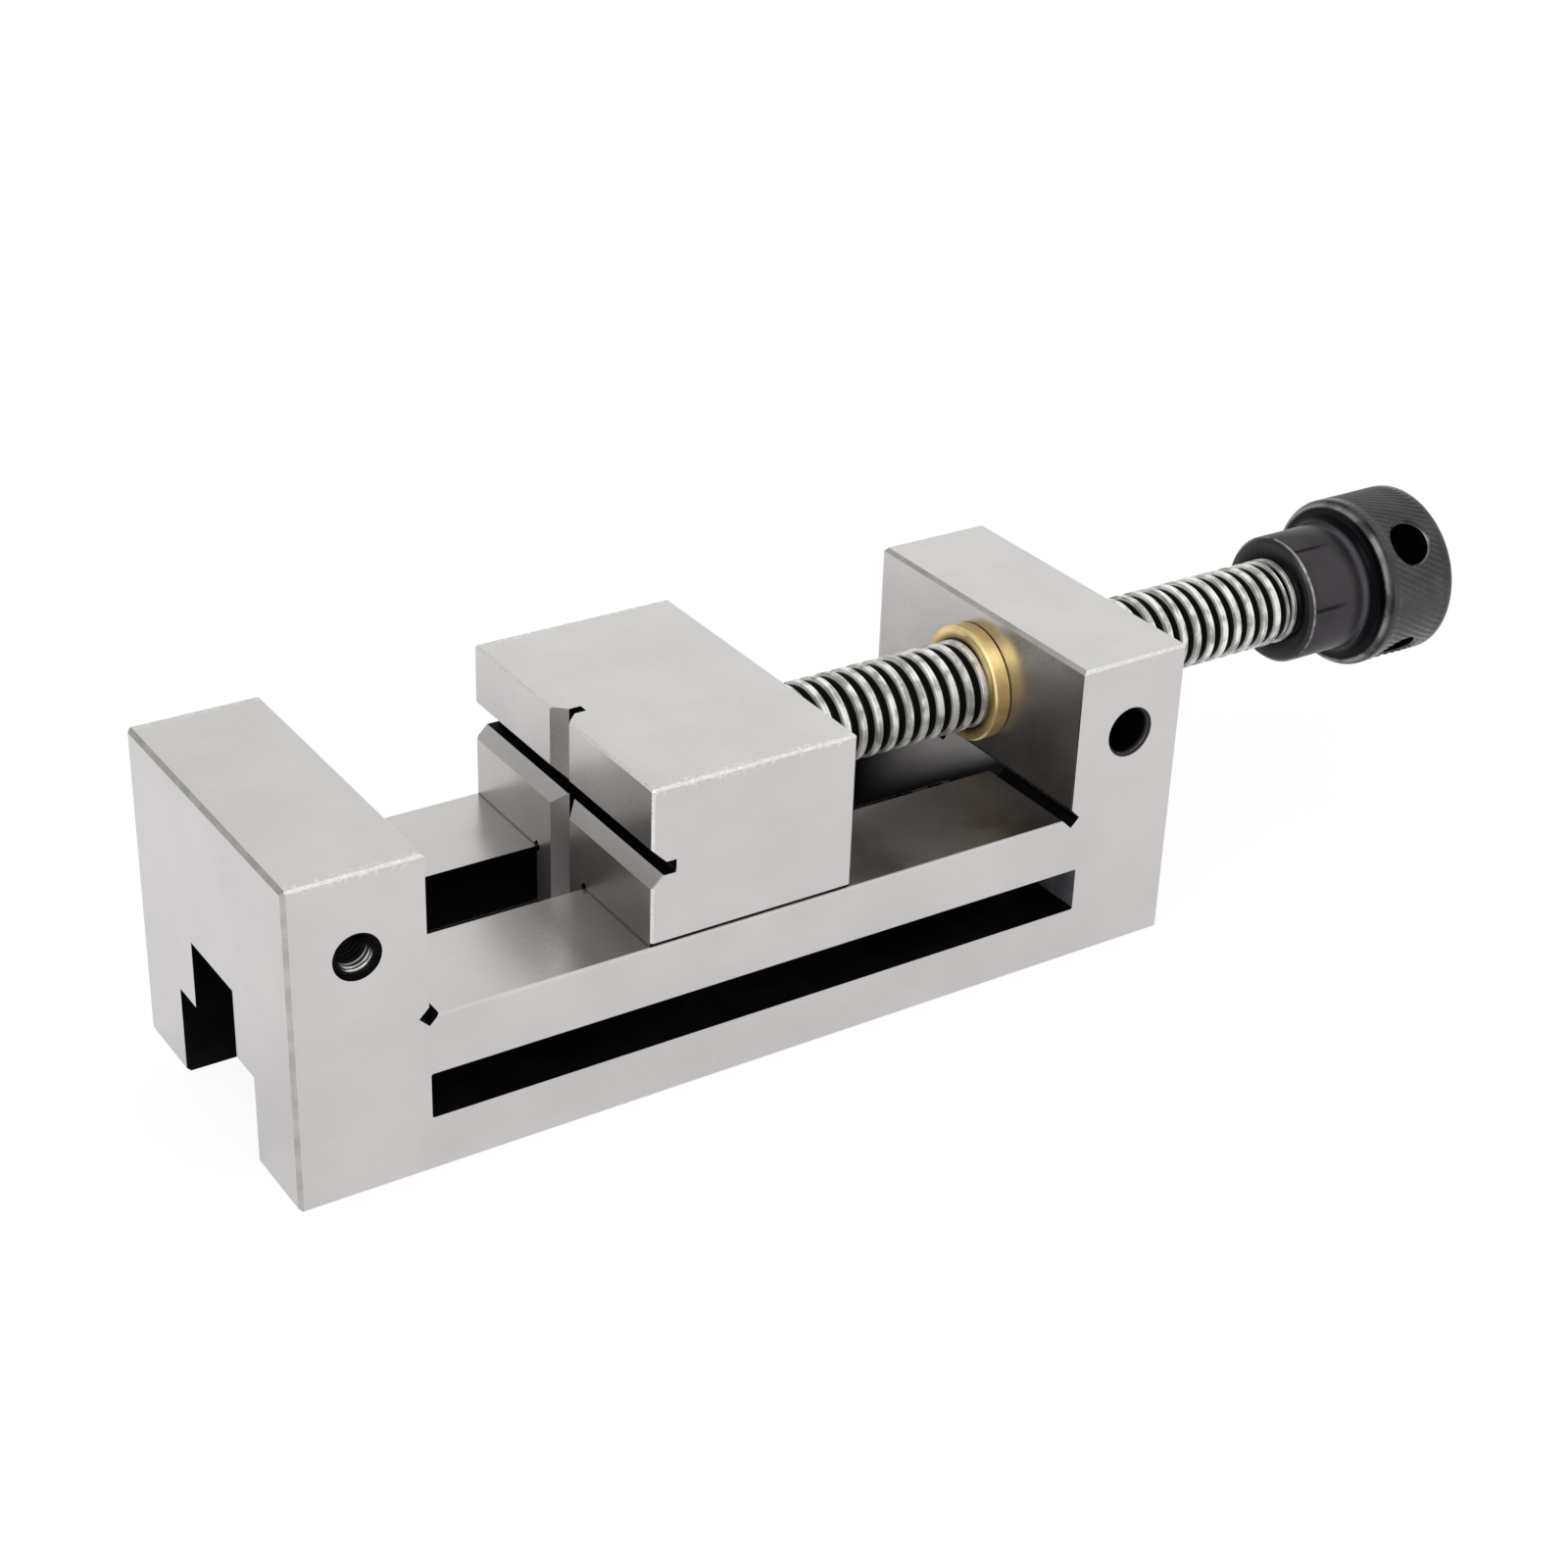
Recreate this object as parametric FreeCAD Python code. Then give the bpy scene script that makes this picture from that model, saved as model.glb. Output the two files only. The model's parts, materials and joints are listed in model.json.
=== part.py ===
import FreeCAD, Part
import math
import os
from FreeCAD import Vector

# Screw-type toolmaker's vise, ground steel, 73 mm wide.
# Millimetres. X runs along the lead screw from the fixed jaw to the knob, Z is up.
# The origin is on the base plane and the centre plane, straight under the fixed jaw's face.

# Ground body
bodyWidth = 73.0
bodyHeight = 70.0
fixedJawLength = 28.0
postLength = 28.0
bedLength = 152.0
railHeight = 35.0
channelWidth = 20.0
lowerSlotWidth = 36.0
lowerSlotHeight = 20.0
clampSlotBottom = 12.0
clampSlotHeight = 10.0
clampSlotOverrun = 2.5
clampSlotCorner = 0.5
reliefGroove = 3.0
endChamfer = 0.9
edgeBreak = 0.5

# Tapped hole for a work stop in the side of the fixed jaw, M8
stopThreadBore = 6.8
stopHoleDepth = 20.0
stopMouth = 10.0

# Moving jaw at rest, its tongue and grooves
jawOpening = 48.0
jawLength = 47.0
slideClearance = 0.05
undersideNotch = 2.0
levelVeeWidth = 8.8
uprightVeeWidth = 8.0
veeSlotWidth = 2.3
veeSlotDepth = 5.5

# Keeper plate under the rails and its two cap screws, M6
keeperLength = 40.0
keeperWidth = 35.0
keeperThickness = 9.0
keeperClearance = 0.06
keeperScrewSpacing = 26.0
capScrewThread = 6.0
capScrewLength = 16.0
capHeadDiameter = 10.0
capHeadHeight = 6.0
capSocketSize = 5.0
capSocketDepth = 3.0
capHoleClearance = 0.3
capSeatClearance = 0.5
threadSeatGap = 0.02

# Lead screw, trapezoidal thread 20 mm by 4 mm
screwAxisHeight = (railHeight + bodyHeight) / 2
threadDiameter = 20.0
threadPitch = 4.0
threadDepth = 2.25
crestShare = 0.366
flankAngle = 15.0
chordsPerTurn = 12
neckGap = 0.1
neckLength = 0.6
threadToHub = 142.5
ringLength = 1.2

# Nose of the screw in the moving jaw
noseDiameter = 14.0
noseClearance = 0.05
noseBoreDepth = 24.0
noseChamfer = 0.8
grooveDiameter = 10.0
grooveToJawBack = 14.0
grooveWidth = 4.2
pinDiameter = 4.0
pinLength = 22.0
pinTop = 10.0
pinClearance = 0.05
pinSeatGap = 0.02
noseEndGap = 0.05

# Brass nut in the post and the set screw that locks it, M8
nutDiameter = 24.0
nutFlangeDiameter = 26.0
nutFlangeThickness = 4.0
nutChamfer = 0.8
nutThreadPlay = 0.42
nutFlankPlay = 0.2
nutSeatGap = 0.02
lockHoleDiameter = 10.4
lockHoleDepth = 14.0
lockMouth = 11.6
setScrewThread = 8.0
setScrewLength = 8.0
setSocketSize = 4.0
setSocketDepth = 4.0

# Knob with a turned hub and two crossed holes for a tommy bar
hubDiameter = 30.0
hubLength = 19.5
hubChamfer = 1.0
hubFillet = 2.5
hubFilletSteps = 3
knobDiameter = 40.0
knobLength = 21.0
knobFrontChamfer = 1.5
knobRearChamfer = 1.0
tommyHole = 10.0
tommyAngle = 135.0
shankDiameter = 16.0
shankIntoKnob = 22.0
shankSeatGap = 0.02
ringSeatGap = 0.05
knobPinDiameter = 4.0
knobPinLength = 13.0
knobPinPosition = 10.0

# Places along the screw, worked out from the sizes above
jawFaceX = 0.0
frontX = jawFaceX - fixedJawLength
postFaceX = jawFaceX + bedLength
rearX = postFaceX + postLength
movingFaceX = jawFaceX + jawOpening
jawBackX = movingFaceX + jawLength
hubFrontX = jawBackX + threadToHub
headFrontX = hubFrontX + hubLength
knobRearX = headFrontX + knobLength
halfWidth = bodyWidth / 2
clampSlotTop = clampSlotBottom + clampSlotHeight
keeperTop = clampSlotTop - keeperClearance
jawCentreX = (movingFaceX + jawBackX) / 2


def box(x0, x1, y0, y1, z0, z1):
    return Part.makeBox(x1 - x0, y1 - y0, z1 - z0, Vector(x0, y0, z0))


def prismAlongX(points, x0, x1):
    # points are (y, z)
    corners = [Vector(x0, y, z) for y, z in points]
    face = Part.Face(Part.makePolygon(corners + corners[:1]))
    return face.extrude(Vector(x1 - x0, 0, 0))


def prismAlongY(points, y0, y1):
    # points are (x, z)
    corners = [Vector(x, y0, z) for x, z in points]
    face = Part.Face(Part.makePolygon(corners + corners[:1]))
    return face.extrude(Vector(0, y1 - y0, 0))


def prismAlongZ(points, z0, z1):
    # points are (x, y)
    corners = [Vector(x, y, z0) for x, y in points]
    face = Part.Face(Part.makePolygon(corners + corners[:1]))
    return face.extrude(Vector(0, 0, z1 - z0))


def roundBar(diameter, start, end):
    direction = end - start
    return Part.makeCylinder(diameter / 2, direction.Length, start, direction)


def onAxis(x):
    return Vector(x, 0, screwAxisHeight)


def turned(edges):
    # a closed outline of edges in the half plane above the screw axis, turned about that axis
    face = Part.Face(Part.Wire(edges))
    return face.revolve(onAxis(0), Vector(1, 0, 0), 360)


def outline(points):
    # straight edges through (x, radius) points, closed
    corners = [Vector(x, 0, screwAxisHeight + r) for x, r in points]
    return [Part.makeLine(a, b) for a, b in zip(corners, corners[1:] + corners[:1])]


def diamond(x, z, side):
    half = side / math.sqrt(2)
    return [(x - half, z), (x, z + half), (x + half, z), (x, z - half)]


def mouthCone(mouth, hole, start, direction):
    # a 90 degree countersink from the mouth's diameter down to the hole's
    depth = (mouth - hole) / 2
    return Part.makeCone(mouth / 2, hole / 2, depth, start, direction)


def straightEdges(shape, test):
    picked = []
    for edge in shape.Edges:
        if edge.Curve.TypeId != "Part::GeomLine":
            continue
        ends = [v.Point for v in edge.Vertexes]
        if all(test(p) for p in ends):
            picked.append(edge)
    return picked


def near(a, b):
    return abs(a - b) < 1e-4


def edgesAlongY(shape):
    picked = []
    for edge in shape.Edges:
        a, b = [v.Point for v in edge.Vertexes]
        if near(a.x, b.x) and near(a.z, b.z):
            picked.append(edge)
    return picked


def bodyCorner(p):
    # true on the outer edges of the ground body, apart from those of its two ends
    side = near(abs(p.y), halfWidth)
    inner = near(p.x, jawFaceX) or near(p.x, postFaceX)
    top = near(p.z, bodyHeight)
    rail = near(p.z, railHeight)
    base = near(p.z, 0)
    return (side and (inner or top or rail or base)) or (top and inner)


def makeBody():
    block = prismAlongY(
        [
            (frontX, 0),
            (frontX, bodyHeight),
            (jawFaceX, bodyHeight),
            (jawFaceX, railHeight),
            (postFaceX, railHeight),
            (postFaceX, bodyHeight),
            (rearX, bodyHeight),
            (rearX, 0),
        ],
        -halfWidth,
        halfWidth,
    )
    # outer edges are broken before the slots are cut, so the slots keep crisp corners
    outer = []
    for edge in straightEdges(block, bodyCorner):
        a, b = [v.Point for v in edge.Vertexes]
        atEnd = near(a.x, b.x) and (near(a.x, frontX) or near(a.x, rearX))
        corner = (near(a.z, railHeight) or near(b.z, railHeight)) and near(a.x, b.x)
        if not atEnd and not corner:
            outer.append(edge)
    block = block.makeChamfer(edgeBreak, outer)

    # the rims of the two ends get a wider chamfer
    hull = box(frontX, rearX, -halfWidth, halfWidth, 0, bodyHeight)
    rims = straightEdges(hull, lambda p: near(p.x, frontX))
    rims += straightEdges(hull, lambda p: near(p.x, rearX))
    block = block.common(hull.makeChamfer(endChamfer, rims))

    # inverted T channel, open below, from end to end
    half = channelWidth / 2
    low = lowerSlotWidth / 2
    under = 1.0
    block = block.cut(box(frontX - 1, rearX + 1, -half, half, -under, railHeight))
    block = block.cut(box(frontX - 1, rearX + 1, -low, low, -under, lowerSlotHeight))

    # clamp slot through both side walls
    slot = box(
        jawFaceX,
        postFaceX + clampSlotOverrun,
        -halfWidth - 1,
        halfWidth + 1,
        clampSlotBottom,
        clampSlotTop,
    )
    block = block.cut(slot.makeFillet(clampSlotCorner, edgesAlongY(slot)))

    # square relief grooves where the bed meets the fixed jaw and the post
    for x in (jawFaceX, postFaceX):
        block = block.cut(prismAlongY(diamond(x, railHeight, reliefGroove), -halfWidth - 1, halfWidth + 1))

    block = block.cut(stopHole())
    block = block.cut(lockHole())
    bore = nutDiameter + 2 * nutSeatGap
    return block.cut(roundBar(bore, onAxis(postFaceX - 1), onAxis(rearX + 1)))


def stopHole():
    mouth = Vector(frontX + fixedJawLength / 2, -halfWidth, screwAxisHeight)
    inward = Vector(0, 1, 0)
    hole = roundBar(stopThreadBore, mouth - inward, mouth + inward * stopHoleDepth)
    return hole.fuse(mouthCone(stopMouth, stopThreadBore, mouth, inward))


def lockHole():
    mouth = Vector(rearX - postLength / 2, -halfWidth, screwAxisHeight)
    inward = Vector(0, 1, 0)
    wide = roundBar(lockHoleDiameter, mouth - inward, mouth + inward * lockHoleDepth)
    wide = wide.fuse(mouthCone(lockMouth, lockHoleDiameter, mouth, inward))
    narrow = setScrewThread + 2 * threadSeatGap
    return wide.fuse(roundBar(narrow, mouth, Vector(mouth.x, 0, mouth.z)))


def veeCutter(width):
    # outline of a 90 degree vee with a narrow relief slot at its bottom: (depth, across)
    half = width / 2
    slot = veeSlotWidth / 2
    flank = half - slot
    return [
        (-1, half + 1),
        (flank, slot),
        (veeSlotDepth, slot),
        (veeSlotDepth, -slot),
        (flank, -slot),
        (-1, -half - 1),
    ]


def makeMovingJaw():
    bottom = railHeight + slideClearance
    tongueHalf = channelWidth / 2 - slideClearance
    jaw = box(movingFaceX, jawBackX, -halfWidth, halfWidth, bottom, bodyHeight)
    planes = ((movingFaceX, jawBackX), (-halfWidth, halfWidth), (bottom, bodyHeight))

    def corner(p):
        return all(near(v, lo) or near(v, hi) for v, (lo, hi) in zip(p, planes))

    jaw = jaw.makeChamfer(edgeBreak, straightEdges(jaw, corner))
    jaw = jaw.fuse(box(movingFaceX, jawBackX, -tongueHalf, tongueHalf, keeperTop, bottom + edgeBreak * 2))

    # level vee across the face at the screw's height, upright vee down the middle
    level = [(movingFaceX + d, screwAxisHeight + a) for d, a in veeCutter(levelVeeWidth)]
    jaw = jaw.cut(prismAlongY(level, -halfWidth - 1, halfWidth + 1))
    upright = [(movingFaceX + d, a) for d, a in veeCutter(uprightVeeWidth)]
    jaw = jaw.cut(prismAlongZ(upright, keeperTop - 1, bodyHeight + 1))

    # small square notches clear the corners between the underside and the tongue
    for side in (-1, 1):
        notch = diamond(side * tongueHalf, bottom, undersideNotch)
        jaw = jaw.cut(prismAlongX(notch, movingFaceX - 1, jawBackX + 1))

    # blind bore for the nose of the screw
    bore = noseDiameter + 2 * noseClearance
    jaw = jaw.cut(roundBar(bore, onAxis(jawBackX - noseBoreDepth), onAxis(jawBackX + 1)))

    jaw = jaw.cut(retainingPin(pinSeatGap, keeperTop - 1))
    for x in keeperScrewPlaces():
        hole = capScrewThread + 2 * threadSeatGap
        top = capSeatHeight() + capScrewLength + 2
        jaw = jaw.cut(roundBar(hole, Vector(x, 0, keeperTop - 1), Vector(x, 0, top)))
    return jaw


def retainingPin(gap, low):
    # upright pin beside the groove in the screw's nose; gap widens it into its own hole
    offset = (grooveDiameter + pinDiameter) / 2 + pinClearance
    x = jawBackX - grooveToJawBack
    top = screwAxisHeight + pinTop
    return roundBar(pinDiameter + 2 * gap, Vector(x, offset, low), Vector(x, offset, top + gap))


def makeRetainingPin():
    return retainingPin(0, screwAxisHeight + pinTop - pinLength)


def keeperScrewPlaces():
    return [jawCentreX - keeperScrewSpacing / 2, jawCentreX + keeperScrewSpacing / 2]


def capSeatHeight():
    # underside of the plate plus the depth of the counterbore
    return keeperTop - keeperThickness + capHeadHeight + capSeatClearance


def makeKeeperPlate():
    bottom = keeperTop - keeperThickness
    half = keeperLength / 2
    plate = box(jawCentreX - half, jawCentreX + half, -keeperWidth / 2, keeperWidth / 2, bottom, keeperTop)

    def underside(p):
        return near(p.z, bottom)

    plate = plate.makeChamfer(edgeBreak, straightEdges(plate, underside))
    seat = capSeatHeight()
    for x in keeperScrewPlaces():
        head = capHeadDiameter + 2 * capSeatClearance
        hole = capScrewThread + 2 * capHoleClearance
        plate = plate.cut(roundBar(head, Vector(x, 0, bottom - 1), Vector(x, 0, seat)))
        plate = plate.cut(roundBar(hole, Vector(x, 0, bottom), Vector(x, 0, keeperTop + 1)))
    return plate


def hexSocket(size, start, direction, depth):
    # a hexagonal hole, size is measured across its flats
    points = []
    for i in range(6):
        angle = math.radians(60 * i)
        points.append(Vector(math.cos(angle), math.sin(angle), 0) * (size / math.sqrt(3)))
    face = Part.Face(Part.makePolygon(points + points[:1]))
    tool = face.extrude(Vector(0, 0, depth))
    turn = FreeCAD.Rotation(Vector(0, 0, 1), direction)
    tool.Placement = FreeCAD.Placement(start, turn)
    return tool


def makeCapScrew(x):
    # socket head cap screw that points up into the jaw's tongue
    seat = capSeatHeight()
    low = seat - capHeadHeight
    shank = roundBar(capScrewThread, Vector(x, 0, seat - 1), Vector(x, 0, seat + capScrewLength))
    head = roundBar(capHeadDiameter, Vector(x, 0, low), Vector(x, 0, seat))
    socket = hexSocket(capSocketSize, Vector(x, 0, low), Vector(0, 0, 1), capSocketDepth)
    return head.fuse(shank).removeSplitter().cut(socket)


def chordPoint(radius, step, x):
    # a point on a helix made of straight chords; the first one faces +Y
    angle = 2 * math.pi * (step % chordsPerTurn) / chordsPerTurn
    return Vector(x, radius * math.cos(angle), screwAxisHeight + radius * math.sin(angle))


def flatFace(*corners):
    points = list(corners)
    return Part.Face(Part.makePolygon(points + points[:1]))


def flankPanel(a, b, c, d):
    # the four corners aren't quite in one plane, so the panel is two triangles
    return [flatFace(a, b, d), flatFace(b, c, d)]


def threadedBar(crestRadius, rootRadius, crestWidth, startX, turns, neckX, ringX):
    # One ridge winds round the bar. It starts at a flat wall on a plain neck at root
    # size and its groove ends at a flat wall in a plain ring at crest size.
    flank = (crestRadius - rootRadius) * math.tan(math.radians(flankAngle))
    advance = threadPitch / chordsPerTurn
    last = round(turns * chordsPerTurn)
    turn = chordsPerTurn

    def foot(k):
        return chordPoint(rootRadius, k, startX + k * advance)

    def rise(k):
        return chordPoint(crestRadius, k, startX + k * advance + flank)

    def fall(k):
        return chordPoint(crestRadius, k, startX + k * advance + flank + crestWidth)

    def heel(k):
        return chordPoint(rootRadius, k, startX + k * advance + 2 * flank + crestWidth)

    def neck(k):
        return chordPoint(rootRadius, k, neckX)

    def ring(k):
        return chordPoint(crestRadius, k, ringX)

    faces = []
    for k in range(last):
        faces.append(flatFace(rise(k), rise(k + 1), fall(k + 1), fall(k)))
        faces.extend(flankPanel(fall(k), fall(k + 1), heel(k + 1), heel(k)))
        faces.append(flatFace(heel(k), heel(k + 1), foot(k + 1 + turn), foot(k + turn)))
    for k in range(last + turn):
        faces.extend(flankPanel(foot(k), foot(k + 1), rise(k + 1), rise(k)))

    # plain neck and the wall that starts the ridge
    faces.append(flatFace(foot(0), rise(0), fall(0), heel(0)))
    for k in range(turn - 1):
        faces.append(flatFace(neck(k), neck(k + 1), foot(k + 1), foot(k)))
    faces.append(flatFace(neck(turn - 1), neck(0), foot(0), heel(0), foot(turn), foot(turn - 1)))
    faces.append(flatFace(*[neck(k) for k in range(turn)]))

    # wall that ends the groove and the plain ring behind it
    end = last + turn
    faces.append(flatFace(fall(last), heel(last), foot(end), rise(end)))
    faces.append(flatFace(rise(last), rise(last + 1), ring(last + 1), ring(last), rise(end), fall(last)))
    for k in range(last + 1, end):
        faces.append(flatFace(rise(k), rise(k + 1), ring(k + 1), ring(k)))
    faces.append(flatFace(*[ring(last + k) for k in range(turn)]))
    shell = Part.makeShell(faces)
    shell.sewShape()
    return Part.makeSolid(shell)


def threadStart():
    return jawBackX + neckGap + neckLength


def makeLeadScrew():
    crestRadius = threadDiameter / 2
    rootRadius = crestRadius - threadDepth
    crestWidth = crestShare * threadPitch
    neckX = jawBackX + neckGap
    ringX = hubFrontX - ringSeatGap
    flank = threadDepth * math.tan(math.radians(flankAngle))
    room = ringX - ringLength - threadStart() - flank
    turns = math.floor((room / threadPitch - 1) * chordsPerTurn) / chordsPerTurn
    bar = threadedBar(crestRadius, rootRadius, crestWidth, threadStart(), turns, neckX, ringX)

    # nose with the groove that the retaining pin runs in
    tipX = jawBackX - noseBoreDepth + noseEndGap
    radius = noseDiameter / 2
    grooveX = jawBackX - grooveToJawBack
    points = [
        (tipX, radius - noseChamfer),
        (tipX + noseChamfer, radius),
        (grooveX - grooveWidth / 2, radius),
        (grooveX - grooveWidth / 2, grooveDiameter / 2),
        (grooveX + grooveWidth / 2, grooveDiameter / 2),
        (grooveX + grooveWidth / 2, radius),
        (neckX, radius),
        (neckX, 0),
        (tipX, 0),
    ]
    nose = turned(outline(points))

    shank = roundBar(shankDiameter, onAxis(ringX), onAxis(hubFrontX + shankIntoKnob))
    shank = shank.cut(knobPin(pinSeatGap))
    return bar.fuse([nose, shank])


def knobPin(gap):
    # short dowel driven up through the hub from below
    x = hubFrontX + knobPinPosition
    low = screwAxisHeight - hubDiameter / 2 + edgeBreak
    start = Vector(x, 0, low)
    return roundBar(knobPinDiameter + 2 * gap, start, start + Vector(0, 0, knobPinLength + gap))


def makeKnobPin():
    return knobPin(0)


def makeKnob():
    hub = hubDiameter / 2
    head = knobDiameter / 2
    points = [(hubFrontX, 0), (hubFrontX, hub - hubChamfer), (hubFrontX + hubChamfer, hub)]
    # the hollow corner between hub and head is turned in short straight steps
    for step in range(hubFilletSteps + 1):
        turn = math.radians(90 * step / hubFilletSteps)
        x = headFrontX - hubFillet * (1 - math.sin(turn))
        points.append((x, hub + hubFillet * (1 - math.cos(turn))))
    points += [
        (headFrontX, head - knobFrontChamfer),
        (headFrontX + knobFrontChamfer, head),
        (knobRearX - knobRearChamfer, head),
        (knobRearX, head - knobRearChamfer),
        (knobRearX, 0),
    ]
    knob = turned(outline(points))

    # blind bore for the screw's plain shank
    bore = shankDiameter + 2 * shankSeatGap
    knob = knob.cut(roundBar(bore, onAxis(hubFrontX - 1), onAxis(hubFrontX + shankIntoKnob + shankSeatGap)))

    # crossed holes through the head, square to each other
    middleX = (headFrontX + knobRearX) / 2
    for angle in (tommyAngle, tommyAngle + 90):
        turn = math.radians(angle)
        reach = Vector(0, math.cos(turn), math.sin(turn)) * knobDiameter
        knob = knob.cut(roundBar(tommyHole, onAxis(middleX) - reach, onAxis(middleX) + reach))
    low = screwAxisHeight - hubDiameter
    x = hubFrontX + knobPinPosition
    hole = roundBar(knobPinDiameter + 2 * pinSeatGap, Vector(x, 0, low), Vector(x, 0, screwAxisHeight))
    return knob.cut(hole)


def makeNut():
    flangeX = postFaceX - nutFlangeThickness
    body = nutDiameter / 2
    flange = nutFlangeDiameter / 2
    blank = turned(
        outline(
            [
                (flangeX, 0),
                (flangeX, flange - nutChamfer),
                (flangeX + nutChamfer, flange),
                (postFaceX, flange),
                (postFaceX, body),
                (rearX, body),
                (rearX, 0),
            ]
        )
    )
    # internal thread in step with the screw's, with play on every side
    crestRadius = threadDiameter / 2 + nutThreadPlay
    rootRadius = threadDiameter / 2 - threadDepth + nutThreadPlay
    widening = 2 * nutFlankPlay - 2 * nutThreadPlay * math.tan(math.radians(flankAngle))
    crestWidth = crestShare * threadPitch + widening
    ahead = math.floor((flangeX - threadStart()) / threadPitch) - 1
    startX = threadStart() + ahead * threadPitch - widening / 2
    turns = math.ceil((rearX - startX) / threadPitch) + 1
    endX = startX + (turns + 2) * threadPitch
    tap = threadedBar(crestRadius, rootRadius, crestWidth, startX, turns, startX - 1, endX)
    return blank.cut(tap)


def makeSetScrew():
    # sits deep in the post's side hole, its flat end on the nut
    x = rearX - postLength / 2
    inner = -nutDiameter / 2 - nutSeatGap
    start = Vector(x, inner - setScrewLength, screwAxisHeight)
    screw = roundBar(setScrewThread, start, Vector(x, inner, screwAxisHeight))
    return screw.cut(hexSocket(setSocketSize, start, Vector(0, 1, 0), setSocketDepth))


parts = {
    "vise_body": makeBody,
    "moving_jaw": makeMovingJaw,
    "keeper_plate": makeKeeperPlate,
    "retaining_pin": makeRetainingPin,
    "lead_nut": makeNut,
    "nut_lock_screw": makeSetScrew,
    "lead_screw": makeLeadScrew,
    "knob": makeKnob,
    "knob_pin": makeKnobPin,
}
for number, place in enumerate(keeperScrewPlaces(), 1):
    parts["keeper_screw_%d" % number] = lambda place=place: makeCapScrew(place)

os.makedirs("parts", exist_ok=True)
for name, make in parts.items():
    shape = make()
    if shape.ShapeType == "Compound" and len(shape.Solids) == 1:
        shape = shape.Solids[0]
    shape.exportStep("parts/%s.step" % name)
    print(name, len(shape.Solids), shape.isValid(), round(shape.Volume, 1), len(shape.Faces))
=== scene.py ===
import json
import math

import bmesh
import bpy
from mathutils import Matrix, Vector

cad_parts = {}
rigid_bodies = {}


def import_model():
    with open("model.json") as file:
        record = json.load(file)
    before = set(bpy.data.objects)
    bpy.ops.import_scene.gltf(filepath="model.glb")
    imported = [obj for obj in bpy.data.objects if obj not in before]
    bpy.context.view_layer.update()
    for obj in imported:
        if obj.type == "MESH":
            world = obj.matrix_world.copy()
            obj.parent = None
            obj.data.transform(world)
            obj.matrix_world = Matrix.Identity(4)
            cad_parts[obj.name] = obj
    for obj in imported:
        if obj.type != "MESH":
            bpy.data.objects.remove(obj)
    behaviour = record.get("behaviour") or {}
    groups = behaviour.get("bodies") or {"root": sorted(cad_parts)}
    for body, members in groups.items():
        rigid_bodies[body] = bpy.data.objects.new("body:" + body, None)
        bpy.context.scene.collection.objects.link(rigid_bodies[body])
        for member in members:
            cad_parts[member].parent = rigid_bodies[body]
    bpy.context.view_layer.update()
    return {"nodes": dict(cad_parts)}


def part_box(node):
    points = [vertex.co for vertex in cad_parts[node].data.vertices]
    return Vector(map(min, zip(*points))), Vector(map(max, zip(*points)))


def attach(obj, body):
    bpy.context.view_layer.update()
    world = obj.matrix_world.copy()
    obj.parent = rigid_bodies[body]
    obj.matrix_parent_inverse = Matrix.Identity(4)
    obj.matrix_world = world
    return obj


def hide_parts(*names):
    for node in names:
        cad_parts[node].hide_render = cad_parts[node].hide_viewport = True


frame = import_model()
nodes = frame["nodes"]
mm = 0.001
print("frame loaded:", len(nodes), "nodes")

# where things are, in millimetres: x from the fixed jaw's face, z from the base
place = {
    "axisHeight": 52.5,
    "halfWidth": 36.5,
    "railHeight": 35.0,
    "bodyHeight": 70.0,
    "frontEnd": -28.0,
    "postFace": 152.0,
    "rearEnd": 180.0,
    "jawFace": 48.0,
}
bodyLook = {
    "edgeWidth": 0.17 * mm,
    "filedBack": 0.35 * mm,
    "stopHoleX": -14.0,
    "stopThread": 8.0,
    "stopPitch": 1.25,
    "stopBore": 6.8,
    "stopFlank": 0.61 * 0.577,  # of the pitch, a 60 degree thread
    "stopDepth": 18.5,
    # where the black faces lie, in millimetres
    "slotX": (-0.1, 154.6),
    "slotZ": (11.9, 22.1),
    "channelHalf": 18.1,
    "channelTop": 20.1,
    "neckHalf": 10.1,
    "grooveReach": 2.2,
    "holes": (-14.0, 166.0),
    "holeReach": 6.0,
    "coats": ["bodyGround", "scale", "edge", "chamfer", "tapped", "slotEnd", "neck"],
}


# helpers for node trees
def feed(tree, value, socket):
    if isinstance(value, bpy.types.NodeSocket):
        tree.links.new(value, socket)
    else:
        socket.default_value = value


def calc(tree, operation, *values):
    made = tree.nodes.new("ShaderNodeMath")
    made.operation = operation
    for value, socket in zip(values, made.inputs):
        feed(tree, value, socket)
    return made.outputs[0]


def times(tree, first, *others):
    for other in others:
        first = calc(tree, "MULTIPLY", first, other)
    return first


def ease(tree, value, low, high, start=0.0, end=1.0):
    made = tree.nodes.new("ShaderNodeMapRange")
    made.interpolation_type = "SMOOTHSTEP"
    for item, socket in zip((value, low, high, start, end), made.inputs):
        feed(tree, item, socket)
    return made.outputs[0]


def blendFloat(tree, share, a, b):
    # a where share is 0, b where it is 1
    return calc(tree, "MULTIPLY_ADD", calc(tree, "SUBTRACT", b, a), share, a)


def distance(tree, a, b):
    return calc(tree, "SQRT", calc(tree, "ADD", times(tree, a, a), times(tree, b, b)))


def noise(tree, where, scale, detail, rough=0.5):
    made = tree.nodes.new("ShaderNodeTexNoise")
    for name, value in (("Vector", where), ("Scale", scale), ("Detail", detail), ("Roughness", rough)):
        feed(tree, value, made.inputs[name])
    return made.outputs[0]


def joined(tree, x, y, z):
    made = tree.nodes.new("ShaderNodeCombineXYZ")
    for value, socket in zip((x, y, z), made.inputs):
        feed(tree, value, socket)
    return made.outputs[0]


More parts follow.
